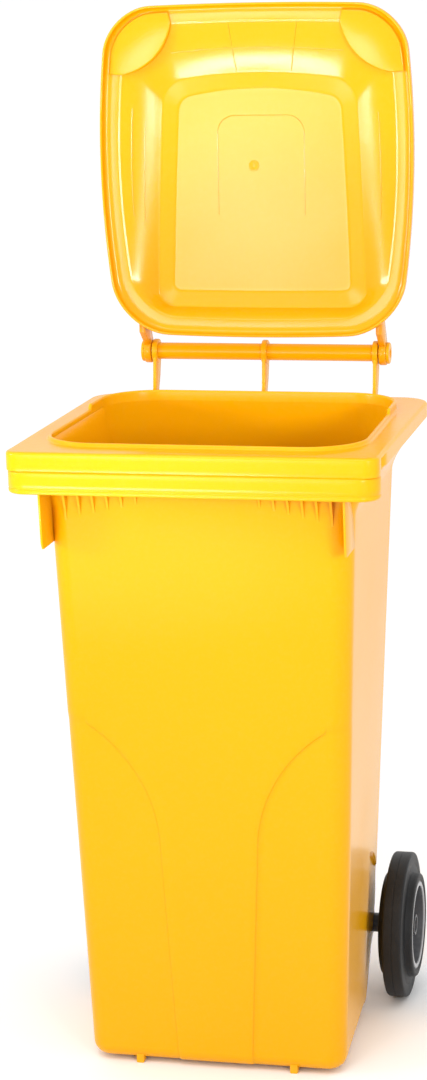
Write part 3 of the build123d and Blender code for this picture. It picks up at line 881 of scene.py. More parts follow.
    def foot_row(self, turn: float, inset: float) -> list[Point]:
        """A ring of the rounding between the underside and the wall.

        Args:
            turn: 0 on the underside, 90 where the wall starts, in degrees.
            inset: how far inside the outer face it lies.

        Returns:
            The ring.
        """
        guide = self.outline(150.0, inset)
        half = []
        for column in range(HALF + 1):
            y = guide.point(column)[1]
            radius = mix(self.base_round, self.heel_round, smooth(30.0, 75.0, y))
            radius = max(2.0, radius - inset)
            draw = radius * (1.0 - math.sin(math.radians(turn)))
            rise = radius * (1.0 - math.cos(math.radians(turn)))
            x, y, _ = self.wall_point(column, self.base, self.floor(y) + inset + rise, inset + draw)
            half.append((x, y, self.floor(y) + inset * 1.2 + rise))
        return whole_ring(half)

    def ring_of(self, plan: PlanOutline, z: float) -> list[Point]:
        """A level ring along a plan outline."""
        return whole_ring([(*plan.point(column), z) for column in range(HALF + 1)])

    def flange_plan(self, inset: float) -> PlanOutline:
        """Plan of the flange's edge, drawn in by inset."""
        return PlanOutline(
            self.rim_half - inset, self.rim_half - inset, self.rim_front + inset, self.rim_rear - inset,
            max(3.0, self.rim_corner_front - inset), self.rim_corner_rear - inset,
            y_mark=37.0, mark_width=4.0,
        )

    def mouth_plan(self, grow: float) -> PlanOutline:
        """Plan of the mouth, widened by grow."""
        return PlanOutline(
            self.mouth_half[0] + grow, self.mouth_half[1] + grow,
            self.mouth_y[0] - grow, self.mouth_y[1] + grow,
            self.mouth_corner + grow, self.mouth_corner + grow, y_mark=37.0, mark_width=4.0,
        )

    def levels(self) -> list[float]:
        """Heights of the wall's rows, closer together where the surface has detail."""
        pocket = [24.0, 30.0, 38.0, 48.0, 56.0, 59.0, 62.0, 65.0, *spread(70.0, 230.0, 26)]
        arch = [self.pocket_top + d for d in (-2.0, -1.0, 0.0, 1.0, 2.0)]
        step = [*spread(240.0, 472.0, 46), *spread(475.0, 500.0, 10)]
        above = [*spread(515.0, 745.0, 12), self.flare_start]
        flare = [mix(self.flare_start, self.skirt_bottom, t) for t in spread(0.06, 1.0, 15)]
        return [*pocket, *arch, *step, *above, *flare]

    def rings(self) -> list[list[Point]]:
        """The wall's rings, up the outside, over the rim and down the inside."""
        outside = [self.foot_row(turn, 0.0) for turn in spread(0.0, 90.0, 8)]
        outside += [self.row(level) for level in self.levels()]
        skirt = self.outline(self.skirt_bottom, 0.0)
        skirt = PlanOutline(
            self.rim_half, self.rim_half, self.y_front[1], self.rim_rear,
            self.corner_front, self.rim_corner_rear,
            skirt.x_step, skirt.step_width,
        )
        outside += [self.ring_of(skirt, z) for z in (828.3, 831.0, 840.0, 843.7)]
        edge = [(0.0, 843.9), (0.0, 844.0)]
        edge += [
            (
                self.rim_edge * (1 - math.cos(math.radians(a))),
                self.flange_top - self.rim_edge * (1 - math.sin(math.radians(a))),
            )
            for a in spread(12.0, 90.0, 7)
        ]
        top = [self.ring_of(self.flange_plan(inset), z) for inset, z in edge]
        top.append(self.ring_of(self.flange_plan(self.rim_edge + 1.5), self.flange_top))
        top.append(self.ring_of(self.mouth_plan(8.0), self.flange_top))
        top.append(self.ring_of(self.mouth_plan(2.0), self.flange_top))
        mouth = self.ring_of(self.mouth_plan(0.0), 846.0)
        below = self.row(self.flare_start - 2.0, self.wall)
        throat = [
            [tuple(mix(a, b, t) for a, b in zip(p, q)) for p, q in zip(mouth, below)]
            for t in (0.0, 0.2, 0.4, 0.6, 0.8)
        ]
        levels = [
            v for i, v in enumerate(self.levels()[::-1])
            if v < self.flare_start - 1 and (i % 3 == 0 or 225 < v < 245)
        ]
        inside = [below, *[self.row(v, self.wall) for v in levels if v > 40.0]]
        inside += [self.foot_row(turn, self.wall) for turn in spread(90.0, 0.0, 5)]
        return [*outside, *top, *throat, *inside]

    def build(self) -> bpy.types.Object:
        """Make the tub and rim, and the lugs and feet moulded to them."""
        grid = GridFill(HALF, FRONT_HALF)
        shells = capped(
            self.rings(), grid, (lambda x, y: self.floor(y), lambda x, y: self.floor(y) + self.wall * 1.2)
        )
        self.add_lugs(shells)
        self.add_feet(shells)
        return shells.make("tub_and_rim")

    def add_lugs(self, shells: Shells) -> None:
        """Add the four lugs that carry the axle under the heel."""
        y, z = middle_of("wheel_axle")
        web = [(y - 54.0, z - 52.0), (y + 2.0, z - 17.8), (y + 17.4, z + 4.0), (y + 8.0, z + 50.0)]
        for x, thick in ((55.0, 6.0), (157.0, 10.0)):
            lug = Shells()
            low, high = x - thick / 2, x + thick / 2
            lug.add_plate(web, low + 0.4, high - 0.4, 0.8)
            ring = [(low, 10.3), (low, 17.0), (low + 1, 18.0), (high - 1, 18.0), (high, 17.0), (high, 10.3)]
            lug.add_turned(ring, y, z, 48)
            for part in (lug, lug.mirrored()):
                shells.add(part.points, part.faces)

    def add_feet(self, shells: Shells) -> None:
        """Add the two low feet under the front edge."""
        foot = Shells()
        foot.add_plate([(-175.0, 0.0), (-161.0, 0.0), (-161.0, 13.0), (-175.0, 13.0)], 99.5, 110.5, 2.0)
        for part in (foot, foot.mirrored()):
            shells.add(part.points, part.faces)


class Band(Enum):
    """The two bands of the front lip."""

    UPPER = "upper"
    LOWER = "lower"


@dataclass
class FrontLip:
    """Deep lip round the front in two bands, the lower one standing a little proud."""

    half: float = 238.5
    front_upper: float = -260.0
    front_lower: float = -263.0
    corner_upper: float = 18.0
    corner_lower: float = 28.0
    return_y: float = -233.0
    side_steps: int = 4
    corner_steps: int = 14
    front_steps: int = 16

    def path(self, band: Band, inset: float) -> list[Flat]:
        """Half of a band's outline, from the end on the side to the middle of the front."""
        front = (self.front_upper if band is Band.UPPER else self.front_lower) + inset
        radius = (self.corner_upper if band is Band.UPPER else self.corner_lower) - inset
        side = self.half - inset
        bend = fillet((side, front), (side, 0.0), (0.0, front), radius, self.corner_steps)
        back = max(self.return_y, bend[0][1] + 0.6)
        straight = [(side, y) for y in spread(back, bend[0][1], self.side_steps + 1)]
        across = [(x, front) for x in spread(bend[-1][0], 0.0, self.front_steps + 1)]
        return [*straight[:-1], *bend, *across[1:]]

    def profile(self) -> list[tuple[Band, float, float]]:
        """Section of the lip: band, distance inside the band's face, height."""
        up, low = Band.UPPER, Band.LOWER
        return [
            (up, 8.0, 843.8), (up, 8.0, 848.03), (up, 3.8, 848.03), (up, 2.3, 847.7), (up, 1.1, 846.9),
            (up, 0.3, 845.7), (up, 0.0, 844.2), (up, 0.0, 839.0), (up, 0.0, 831.0), (up, 0.0, 824.6),
            (up, 0.4, 823.5), (low, 2.2, 822.9), (low, 1.0, 822.6), (low, 0.3, 821.9), (low, 0.0, 820.8),
            (low, 0.0, 815.0), (low, 0.0, 808.0), (low, 0.0, 801.8), (low, 0.7, 801.0), (low, 0.7, 800.2),
            (low, 0.0, 799.4), (low, 0.0, 796.8), (low, 0.5, 795.3), (low, 1.7, 794.3), (low, 3.0, 794.0),
            (low, 3.9, 794.6), (low, 4.2, 796.0), (low, 4.2, 820.0), (up, 4.2, 826.0), (up, 4.2, 843.8),
        ]

    def build(self) -> bpy.types.Object:
        """Make the lip."""
        lines = [(self.path(band, inset), z) for band, inset, z in self.profile()]
        half = [[(*line[i], z) for line, z in lines] for i in range(len(lines[0][0]))]
        other = [[(-x, y, z) for x, y, z in loop] for loop in half[-2::-1]]
        shells = Shells()
        shells.add_sweep([*half, *other])
        return shells.make("front_lip", sharp=50.0)


@dataclass
class Collar:
    """Rounded bead round the mouth, higher along its rear half."""

    tub: Tub
    rear_rise: float = 7.0

    def profile(self) -> list[tuple[float, float, float]]:
        """Section of the bead: distance outside the mouth, height, share of the rear's rise."""
        return [
            (8.5, 847.0, 0.0), (8.5, 848.05, 0.0), (6.6, 848.3, 0.0), (5.4, 849.0, 0.0), (4.9, 850.0, 0.3),
            (4.6, 851.2, 1.0), (4.2, 852.3, 1.0), (3.3, 853.0, 1.0), (2.0, 853.0, 1.0), (0.9, 852.4, 1.0),
            (0.25, 851.4, 1.0), (0.0, 850.2, 1.0), (0.0, 846.0, 0.0), (2.5, 845.5, 0.0),
        ]

    def build(self) -> bpy.types.Object:
        """Make the bead."""
        plans = [(self.tub.mouth_plan(grow), z, share) for grow, z, share in self.profile()]
        half = []
        for column in range(HALF + 1):
            rise = self.rear_rise * behind_mark(column)
            half.append([(*plan.point(column), z + share * rise) for plan, z, share in plans])
        other = [[(-x, y, z) for x, y, z in loop] for loop in half[-2:0:-1]]
        shells = Shells()
        shells.add_sweep([*half, *other], ring=True)
        return shells.make("mouth_collar", sharp=60.0)


# --- geometry node trees ------------------------------------------------------------------------
class PatternTree:
    """Geometry node tree with named inputs that ends in Realize Instances and Set Material."""

    def __init__(self, name: str, numbers: dict[str, float], counts: dict[str, int]) -> None:
        """Start the tree.

        Args:
            name: the tree's name.
            numbers: its number inputs and their values, in metres.
            counts: its whole-number inputs and their values.
        """
        self.name = name
        self.tree = bpy.data.node_groups.new(name, "GeometryNodeTree")
        self.values = {**numbers, **counts}
        for label in numbers:
            self.tree.interface.new_socket(label, in_out="INPUT", socket_type="NodeSocketFloat")
        for label in counts:
            self.tree.interface.new_socket(label, in_out="INPUT", socket_type="NodeSocketInt")
        self.tree.interface.new_socket("Material", in_out="INPUT", socket_type="NodeSocketMaterial")
        self.tree.interface.new_socket("Geometry", in_out="OUTPUT", socket_type="NodeSocketGeometry")
        self.source = self.tree.nodes.new("NodeGroupInput")

    def input(self, label: str) -> bpy.types.NodeSocket:
        """The socket of a named input."""
        return self.source.outputs[label]

    def node(self, kind: str, links: dict[object, object], **settings: object) -> bpy.types.Node:
        """Add a node.

        Args:
            kind: the node's type.
            links: what goes into its sockets, by name or index: a socket or a value.
            settings: its own properties.

        Returns:
            The node.
        """
        node = self.tree.nodes.new(kind)
        for label, value in settings.items():
            setattr(node, label, value)
        for key, value in links.items():
            if isinstance(value, bpy.types.NodeSocket):
                self.tree.links.new(value, node.inputs[key])
            else:
                node.inputs[key].default_value = value
        return node

    def sum(self, kind: str, a: object, b: object = 0.0) -> bpy.types.NodeSocket:
        """One sum of two values, each a socket or a number."""
        return self.node("ShaderNodeMath", {0: a, 1: b}, operation=kind).outputs[0]

    def between(self, t: object, a: object, b: object) -> bpy.types.NodeSocket:
        """Value between a and b at t."""
        links = {"Value": t, "To Min": a, "To Max": b}
        return self.node("ShaderNodeMapRange", links, clamp=False).outputs["Result"]

    def vector(self, x: object, y: object, z: object) -> bpy.types.NodeSocket:
        """A vector from its three parts."""
        return self.node("ShaderNodeCombineXYZ", {0: x, 1: y, 2: z}).outputs[0]

    def realize(self, geometry: bpy.types.NodeSocket, reshape: Callable | None = None) -> None:
        """End the tree.

        Args:
            geometry: the instances.
            reshape: takes the realized geometry's socket and gives the reshaped one.
        """
        real = self.node("GeometryNodeRealizeInstances", {"Geometry": geometry}).outputs[0]
        if reshape:
            real = reshape(real)
        dressed = self.node("GeometryNodeSetMaterial", {"Geometry": real, "Material": self.input("Material")})
        sink = self.tree.nodes.new("NodeGroupOutput")
        self.tree.links.new(dressed.outputs[0], sink.inputs["Geometry"])

    def plain_mesh(self, finish: Finish, **changed: float) -> bpy.types.Mesh:
        """The tree's result as a plain mesh.

        Args:
            finish: what the pattern is made of.
            changed: inputs that differ from the tree's own values.

        Returns:
            The mesh, with no modifier left.
        """
        holder_mesh = bpy.data.meshes.new(self.name)
        holder = bpy.data.objects.new(self.name, holder_mesh)
        bpy.context.scene.collection.objects.link(holder)
        modifier = holder.modifiers.new("pattern", "NODES")
        modifier.node_group = self.tree
        values = {**self.values, **{label.replace("_", " "): value for label, value in changed.items()}}
        values["Material"] = finish.material()
        for item in self.tree.interface.items_tree:
            if item.in_out == "INPUT":
                modifier[item.identifier] = values[item.name]
        bpy.context.view_layer.update()
        graph = bpy.context.evaluated_depsgraph_get()
        mesh = bpy.data.meshes.new_from_object(holder.evaluated_get(graph))
        bpy.data.objects.remove(holder)
        return mesh


def joined(name: str, meshes: Sequence[bpy.types.Mesh], sharp: float = 38.0) -> bpy.types.Object:
    """One object from several plain meshes.

    Args:
        name: the piece's name.
        meshes: the meshes, in metres.
        sharp: edges turn sharp past this many degrees.

    Returns:
        The object, with its faces turned outwards.
    """
    work = bmesh.new()
    for mesh in meshes:
        work.from_mesh(mesh)
    bmesh.ops.recalc_face_normals(work, faces=work.faces[:])
    result = bpy.data.meshes.new(name)
    work.to_mesh(result)
    work.free()
    for attribute in [a.name for a in result.attributes if a.name in ("rib", "turn")]:
        result.attributes.remove(result.attributes[attribute])
    result.shade_smooth()
    result.set_sharp_from_angle(angle=math.radians(sharp))
    piece = bpy.data.objects.new(name, result)
    bpy.context.scene.collection.objects.link(piece)
    return piece


@dataclass
class LipRibs:
    """Ribs and end plates in the hollow between the lip and the front wall."""

    count: int = 6
    first: float = 80.0
    pitch: float = 18.5
    thickness: float = 3.0
    lip_y: float = -256.5
    wall_y: float = -209.0
    top: float = 845.0
    lip_foot: float = 812.0
    feet: Flat = (772.0, 750.0)
    plate_x: float = 195.0
    plate_foot: float = 720.0

    def tree(self) -> PatternTree:
        """The row of ribs, each one's foot lower than the last."""
        made = PatternTree(
            "lip rib row",
            {
                "First": self.first * MM, "Pitch": self.pitch * MM, "Thickness": self.thickness * MM,
                "Lip Y": (self.lip_y + SHIFT) * MM, "Wall Y": (self.wall_y + SHIFT) * MM,
                "Top": self.top * MM, "Lip Foot": self.lip_foot * MM,
                "Inner Foot": self.feet[0] * MM, "Outer Foot": self.feet[1] * MM,
            },
            {"Count": self.count},
        )
        line = made.node(
            "GeometryNodeMeshLine",
            {
                "Count": made.input("Count"), "Start Location": made.vector(made.input("First"), 0.0, 0.0),
                "Offset": made.vector(made.input("Pitch"), 0.0, 0.0),
            },
        )
        place = made.node("GeometryNodeInputIndex", {}).outputs[0]
        share = made.sum("DIVIDE", place, made.sum("SUBTRACT", made.input("Count"), 1.0))
        marked = made.node(
            "GeometryNodeStoreNamedAttribute",
            {"Geometry": line.outputs[0], "Name": "rib", "Value": share}, data_type="FLOAT", domain="POINT",
        )
        blank = made.node(
            "GeometryNodeMeshCube",
            {
                "Size": made.vector(made.input("Thickness"), 1.0, 1.0),
                "Vertices X": 2, "Vertices Y": 10, "Vertices Z": 6,
            },
        )
        placed = made.node(
            "GeometryNodeInstanceOnPoints", {"Points": marked.outputs[0], "Instance": blank.outputs[0]}
        )
        made.realize(placed.outputs[0], lambda real: self.shaped(made, real))
        return made

    def shaped(self, made: PatternTree, real: bpy.types.NodeSocket) -> bpy.types.NodeSocket:
        """Move the blanks' points to the ribs' slanted outline.

        Args:
            made: the tree.
            real: the realized blanks.

        Returns:
            The shaped ribs.
        """
        parts = made.node(
            "ShaderNodeSeparateXYZ", {0: made.node("GeometryNodeInputPosition", {}).outputs[0]}
        ).outputs
        deep = made.sum("ADD", parts[1], 0.5)
        high = made.sum("ADD", parts[2], 0.5)
        rib = made.node("GeometryNodeInputNamedAttribute", {"Name": "rib"}, data_type="FLOAT").outputs[0]
        foot = made.between(rib, made.input("Inner Foot"), made.input("Outer Foot"))
        low = made.between(made.sum("POWER", deep, 2.6), made.input("Lip Foot"), foot)
        target = made.vector(
            parts[0],
            made.between(deep, made.input("Lip Y"), made.input("Wall Y")),
            made.between(high, low, made.input("Top")),
        )
        return made.node("GeometryNodeSetPosition", {"Geometry": real, "Position": target}).outputs[0]

    def end_plate(self) -> Shells:
        """The deeper plate at the right end."""
        shells = Shells()
        low, high = self.plate_x - self.thickness / 2, self.plate_x + self.thickness / 2
        outline = [
            (self.lip_y + 2.0, self.top), (self.lip_y + 2.0, 798.0),
            (self.lip_y + 9.0, self.plate_foot + 8.0),
            (self.lip_y + 14.0, self.plate_foot), (self.wall_y + 26.0, self.plate_foot),
            (self.wall_y + 26.0, self.top),
        ]
        shells.add_plate(outline, low, high, 0.8)
        return shells

    def build(self) -> bpy.types.Object:
        """Make the ribs of both sides and the end plates."""
        tree = self.tree()
        right = tree.plain_mesh(YELLOW_BODY)
        left = tree.plain_mesh(YELLOW_BODY, First=-self.first * MM, Pitch=-self.pitch * MM)
        plates = self.end_plate()
        other = plates.mirrored()
        plates.add(other.points, other.faces)
        blank = plates.make("end_plates")
        mesh = blank.data
        bpy.data.objects.remove(blank)
        return joined("lifting_ribs", [right, left, mesh])


# --- handle -------------------------------------------------------------------------------------
@dataclass
class Handle:
    """Three bracket plates with eyes, and the tube that they carry."""

    bracket_x: float = 157.5
    thick: float = 5.0
    eye_radius: float = 17.0
    eye_thick: float = 8.0
    tube_radius: float = 11.75
    tube_bore: float = 8.5
    tube_half: float = 161.5

    def axis(self) -> Flat:
        """Y and z of the tube's middle line."""
        return middle_of("handle_tube")

    def brackets(self) -> bpy.types.Object:
        """Make the three brackets."""
        y, z = self.axis()
        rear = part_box("bin_rim")[1].y / MM - SHIFT
        neck = self.eye_radius - 2.0
        outline = [
            (rear - 20.0, 779.0), (rear + 8.0, 820.0), (y - 2.0, 846.0), (y + 8.0, 868.0),
            (y + neck, z - 14.0),
            (y + neck, z), (y - neck, z), (y - neck, z - 14.0), (rear + 6.0, 856.0), (rear + 2.0, 845.0),
            (rear - 20.0, 842.0),
        ]
        shells = Shells()
        for x in (-self.bracket_x, 0.0, self.bracket_x):
            shells.add_plate(outline, x - self.thick / 2, x + self.thick / 2, 1.0)
            low, high, r = x - self.eye_thick / 2, x + self.eye_thick / 2, self.eye_radius
            ring = [
                (low, self.tube_radius + 0.02), (low, r - 1.6), (low + 0.5, r - 0.5), (low + 1.6, r),
                (high - 1.6, r), (high - 0.5, r - 0.5), (high, r - 1.6), (high, self.tube_radius + 0.02),
            ]
            shells.add_turned(ring, y, z, 64)
        return shells.make("handle_bracket_set")

    def tube(self) -> bpy.types.Object:
        """Make the tube with softened ends."""
        y, z = self.axis()
        h, r, b = self.tube_half, self.tube_radius, self.tube_bore
        profile = [(-h, b + 0.4), (-h, r - 0.7), (-h + 0.7, r)]
        profile += [(x, r) for x in spread(-h + 8.0, h - 8.0, 12)]
        profile += [(h - 0.7, r), (h, r - 0.7), (h, b + 0.4), (h - 0.4, b), (-h + 0.4, b)]
        shells = Shells()
        shells.add_turned(profile, y, z, 72)
        return shells.make("handle_bar")


# --- lid ----------------------------------------------------------------------------------------
@dataclass
class LidOutline:
    """Rounded outline with bulging sides, in the lid's own plane: x across, s from the hinge."""

    half_front: float
    half_rear: float
    s_front: float
    s_rear: float
    r_front: float
    r_rear: float
    bulge_side: float
    bulge_front: float
    bulge_rear: float
    front_steps: int = 14
    corner_steps: int = 14
    side_steps: int = 36

    def half(self) -> list[Flat]:
        """Right half, from the middle of the front to the middle of the rear."""
        front = (self.half_front, self.s_front)
        rear = (self.half_rear, self.s_rear)
        first = fillet(front, (0.0, self.s_front), rear, self.r_front, self.corner_steps)
        last = fillet(rear, front, (0.0, self.s_rear), self.r_rear, self.corner_steps)
        steps = self.front_steps
        points = [(mix(0.0, first[0][0], i / steps), self.s_front) for i in range(steps)]
        points += first
        for i in range(1, self.side_steps):
            t = i / self.side_steps
            points.append((mix(first[-1][0], last[0][0], t), mix(first[-1][1], last[0][1], t)))
        points += last
        points += [(mix(last[-1][0], 0.0, i / steps), self.s_rear) for i in range(1, steps + 1)]
        return [self.bulged(x, s) for x, s in points]

    def bulged(self, x: float, s: float) -> Flat:
        """A point pushed out by the bulge of the sides and ends."""
        middle, span = (self.s_front + self.s_rear) / 2, (self.s_front - self.s_rear) / 2
        along = (s - middle) / span
        across = x / self.half_front
        end = self.bulge_front if along > 0 else -self.bulge_rear
        out_x = x + self.bulge_side * (1 - along * along) * across
        out_s = s + end * max(0.0, 1 - across * across) * along * along
        return out_x, out_s


@dataclass
class Lid:
    """Dished lid with a raised middle panel, standing open on its two ears."""

    opened: float = 91.0
    wall: float = 3.5
    skirt_low: float = -55.0
    band_level: float = -41.5
    ring_level: float = -20.6
    panel_level: float = -17.0
    ring_width: float = 22.0
    slope_sag: float = 2.5
    ear: Flat = (163.0, 173.0)
    pad_centre: Flat = (200.0, 470.0)
    pad_radius: float = 84.0
    pad_level: float = -45.0
    gate: Flat = (-9.0, 261.0)
    mark_x: Flat = (-60.0, 62.0)
    mark_s: Flat = (185.0, 330.0)

    def border(self, inset: float) -> LidOutline:
        """Outline of the skirt, drawn in by inset."""
        return LidOutline(
            205.0 - inset, 197.0 - inset, 478.0 - inset, 33.0 + inset, max(12.0, 60.0 - inset * 0.6),
            max(12.0, 72.0 - inset * 0.6), 18.0, 4.5, 6.0,
        )

    def panel(self, grow: float) -> LidOutline:
        """Outline of the middle panel, widened by grow."""
        return LidOutline(
            114.0 + grow, 126.0 + grow, 354.0 + grow, 88.0 - grow,
            17.0 + grow * 0.6, 10.0 + grow * 0.6, 1.0, 13.5, 1.0,
        )

    def place(self, point: Point) -> Point:
        """Take a point of the closed lid (x, s, w) to its place on the open lid."""
        y0, z0 = middle_of("handle_tube")
        x, s, w = point
        c, n = math.cos(math.radians(self.opened)), math.sin(math.radians(self.opened))
        return x, y0 - s * c + w * n, z0 + s * n + w * c

    def ring(self, outline: LidOutline, level: float) -> list[Point]:
        """A ring along an outline at one level."""
        return whole_ring([(x, s, level) for x, s in outline.half()])

    def between(self, a: Sequence[Point], b: Sequence[Point], t: float, sag: float = 0.0) -> list[Point]:
        """A ring between two rings, sunk towards the viewer of the underside by sag."""
        return [
            (mix(p[0], q[0], t), mix(p[1], q[1], t), mix(p[2], q[2], t) - sag) for p, q in zip(a, b)
        ]

    def sag(self, share: float) -> float:
        """How far the slope bows out, at a share of the way from the band to the ring."""
        return self.slope_sag * math.sin(math.pi * share)

    def rings(self) -> list[list[Point]]:
        """Rings from the middle of the underside, round the skirt, to the middle of the top."""
        inner = [
            (2.6, self.skirt_low + 0.3), (3.2, self.skirt_low + 1.2), (3.4, -51.0), (3.7, -46.6),
            (5.0, -43.9),
            (8.0, -42.3), (14.0, -41.7), (22.0, self.band_level), (23.2, self.band_level + 0.3),
        ]
        under = [self.ring(self.border(inset), w) for inset, w in inner]
        foot = self.ring(self.border(25.0), self.band_level + 1.6)
        knee = self.ring(self.panel(self.ring_width), self.ring_level)
        shares = (0.0, 0.02, 0.05, 0.25, 0.5, 0.75, 0.93, 0.98)
        slope = [self.between(foot, knee, t, self.sag(t)) for t in shares]
        turn = [
            self.ring(self.panel(self.ring_width - d), self.ring_level + h)
            for d, h in ((0.8, 0.3), (2.0, 0.5))
        ]
        edge = self.ring(self.panel(1.0), self.panel_level - 0.6)
        ledge = [self.between(turn[-1], edge, t) for t in (0.08, 0.5, 0.92, 1.0)]
        face = [
            self.ring(self.panel(-d), self.panel_level + h)
            for d, h in ((0.2, -0.1), (1.6, 0.0), (5.0, 0.0))
        ]
        underside = [*under, *slope, *turn, *ledge, *face]
        outer = [
            (1.4, self.skirt_low), (0.4, self.skirt_low + 0.6), (0.0, self.skirt_low + 2.0), (0.0, -47.0),
            (0.3, -41.5), (1.2, -39.4), (3.0, -38.2), (6.0, -37.9), (20.0, -37.8), (22.0, -37.4),
        ]
        top = [self.ring(self.border(inset), w) for inset, w in outer]
        high_foot = self.ring(self.border(24.0), self.band_level + 5.6)
        high_knee = self.ring(self.panel(self.ring_width + 2.0), self.ring_level + 3.2)
        top += [self.between(high_foot, high_knee, t, self.sag(t)) for t in (0.0, 0.25, 0.5, 0.75, 1.0)]
        high_edge = self.ring(self.panel(2.0), self.panel_level + 2.9)
        top += [self.between(high_knee, high_edge, t) for t in (0.05, 0.5, 0.95)]
        top += [self.ring(self.panel(-d), self.panel_level + 3.5) for d in (0.5, 5.0)]
        return [*underside[::-1], *top]

    def build(self) -> bpy.types.Object:
        """Make the lid with its pads, ears and moulded marks."""
        rings = self.rings()
        shape = self.border(0.0)
        half = 2 * shape.front_steps + 2 * shape.corner_steps + shape.side_steps
        grid = GridFill(half, shape.front_steps + shape.corner_steps // 2)
        levels = (lambda x, s: self.panel_level, lambda x, s: self.panel_level + self.wall)
        shells = capped(rings, grid, levels)
        self.add_pads(shells)
        self.add_marks(shells)
        self.add_ears(shells)
        shells.points = [self.place(p) for p in shells.points]
        return shells.make("open_lid", sharp=42.0)

    def add_pads(self, shells: Shells) -> None:
        """Add the two quarter-round pads in the corners at the lid's free end."""
        centre, radius = self.pad_centre, self.pad_radius
        edge = [p for p in self.border(9.0).half() if p[0] > centre[0] - radius and p[1] > centre[1] - radius]
        curve = arc(centre, radius, 262.0, 188.0, 18)
        curve = [p for p in curve if p[0] < edge[-1][0] - 1.0 and p[1] < edge[0][1] - 1.0]
        outline = [*edge, *curve]
        middle = (sum(p[0] for p in outline) / len(outline), sum(p[1] for p in outline) / len(outline))
        loops = []
        for share, level in ((0.93, -1.2), (0.965, -1.0), (0.99, -0.2), (1.0, 1.0), (1.0, 14.0)):
            loops.append([
                (mix(middle[0], x, share), mix(middle[1], s, share), self.pad_level + level)
                for x, s in outline
            ])
        pad = Shells()
        pad.add_sweep(loops)
        for part in (pad, pad.mirrored()):
            shells.add(part.points, part.faces)

    def slope_point(self, share: float, column: int, side: float) -> Point:
        """A point of the sloping underside, at a share of the way from the band to the ledge."""
        foot, knee = self.border(25.0).half()[column], self.panel(self.ring_width).half()[column]
        level = mix(self.band_level + 1.6, self.ring_level, share) - self.sag(share)
        return side * mix(foot[0], knee[0], share), mix(foot[1], knee[1], share), level

    def add_marks(self, shells: Shells) -> None:
        """Add the fine raised lines of the underside, the square on the panel and the gate boss."""
        steps = self.border(0.0).front_steps
        left = [self.slope_point(0.52, i, -1.0) for i in range(steps, 0, -1)]
        right = [self.slope_point(0.52, i, 1.0) for i in range(steps + 1)]
        shells.add_ball_tube([*left, *right], 0.8, 8)
        for side, column in ((-1.0, 4), (1.0, 6)):
            shells.add_ball_tube([self.slope_point(t, column, side) for t in spread(0.02, 0.97, 8)], 0.8, 8)
        first = 2 * steps
        for side, share in ((-1.0, 0.30), (-1.0, 0.62), (1.0, 0.45)):
            run = [self.slope_point(share, i, side) for i in range(first + 6, first + 26)]
            shells.add_ball_tube(run, 0.7, 8)
        level = self.panel_level - 0.1
        (x0, x1), (s0, s1) = self.mark_x, self.mark_s
        square = [(x1, s0 + 8.0, level), (x1, s1 - 24.0, level)]
        square += [(x, s, level) for x, s in arc((x1 - 24.0, s1 - 24.0), 24.0, 10.0, 90.0, 8)]
        square += [(x0 + 24.0, s1, level)]
        square += [(x, s, level) for x, s in arc((x0 + 24.0, s1 - 24.0), 24.0, 100.0, 180.0, 8)]
        square += [(x0, s0 + 8.0, level)]
        shells.add_ball_tube(square, 0.7, 8)
        boss = Shells()
        rings = [(7.5, 0.3), (7.2, -0.4), (5.6, -1.0), (4.2, -1.1), (3.2, -0.5), (1.6, -0.4)]
        loops = [
            [(self.gate[0] + r * math.cos(a), self.gate[1] + r * math.sin(a), self.panel_level + w)
             for a in (2 * math.pi * k / 32 for k in range(32))]
            for r, w in rings
        ]
        boss.add_sweep(loops)
        shells.add(boss.points, boss.faces)

    def add_ears(self, shells: Shells) -> None:
        """Add the two ears that turn on the hinge pins."""
        low, high = self.ear
        root = self.band_level + 1.5
        outline = [
            (-15.5, 0.0), (-12.0, 10.5), (-3.0, 15.8), (20.0, 4.5), (70.0, -26.5), (64.0, root),
            (31.0, root),
            (10.0, -13.0), (-4.0, -15.8), (-12.5, -9.5),
        ]
        ear = Shells()
        ear.add_plate(outline, low + 0.5, high - 0.5, 1.4)
        r = 17.0
        ring = [
            (low, 8.7), (low, r - 1.6), (low + 0.5, r - 0.5), (low + 1.6, r), (high - 1.6, r),
            (high - 0.5, r - 0.5),
            (high, r - 1.6), (high, 8.7),
        ]
        ear.add_turned(ring, 0.0, 0.0, 56)
        for part in (ear, ear.mirrored()):
            shells.add(part.points, part.faces)


# --- wheels -------------------------------------------------------------------------------------
class Side(Enum):
    """The two sides of the bin."""

    LEFT = "left"
    RIGHT = "right"


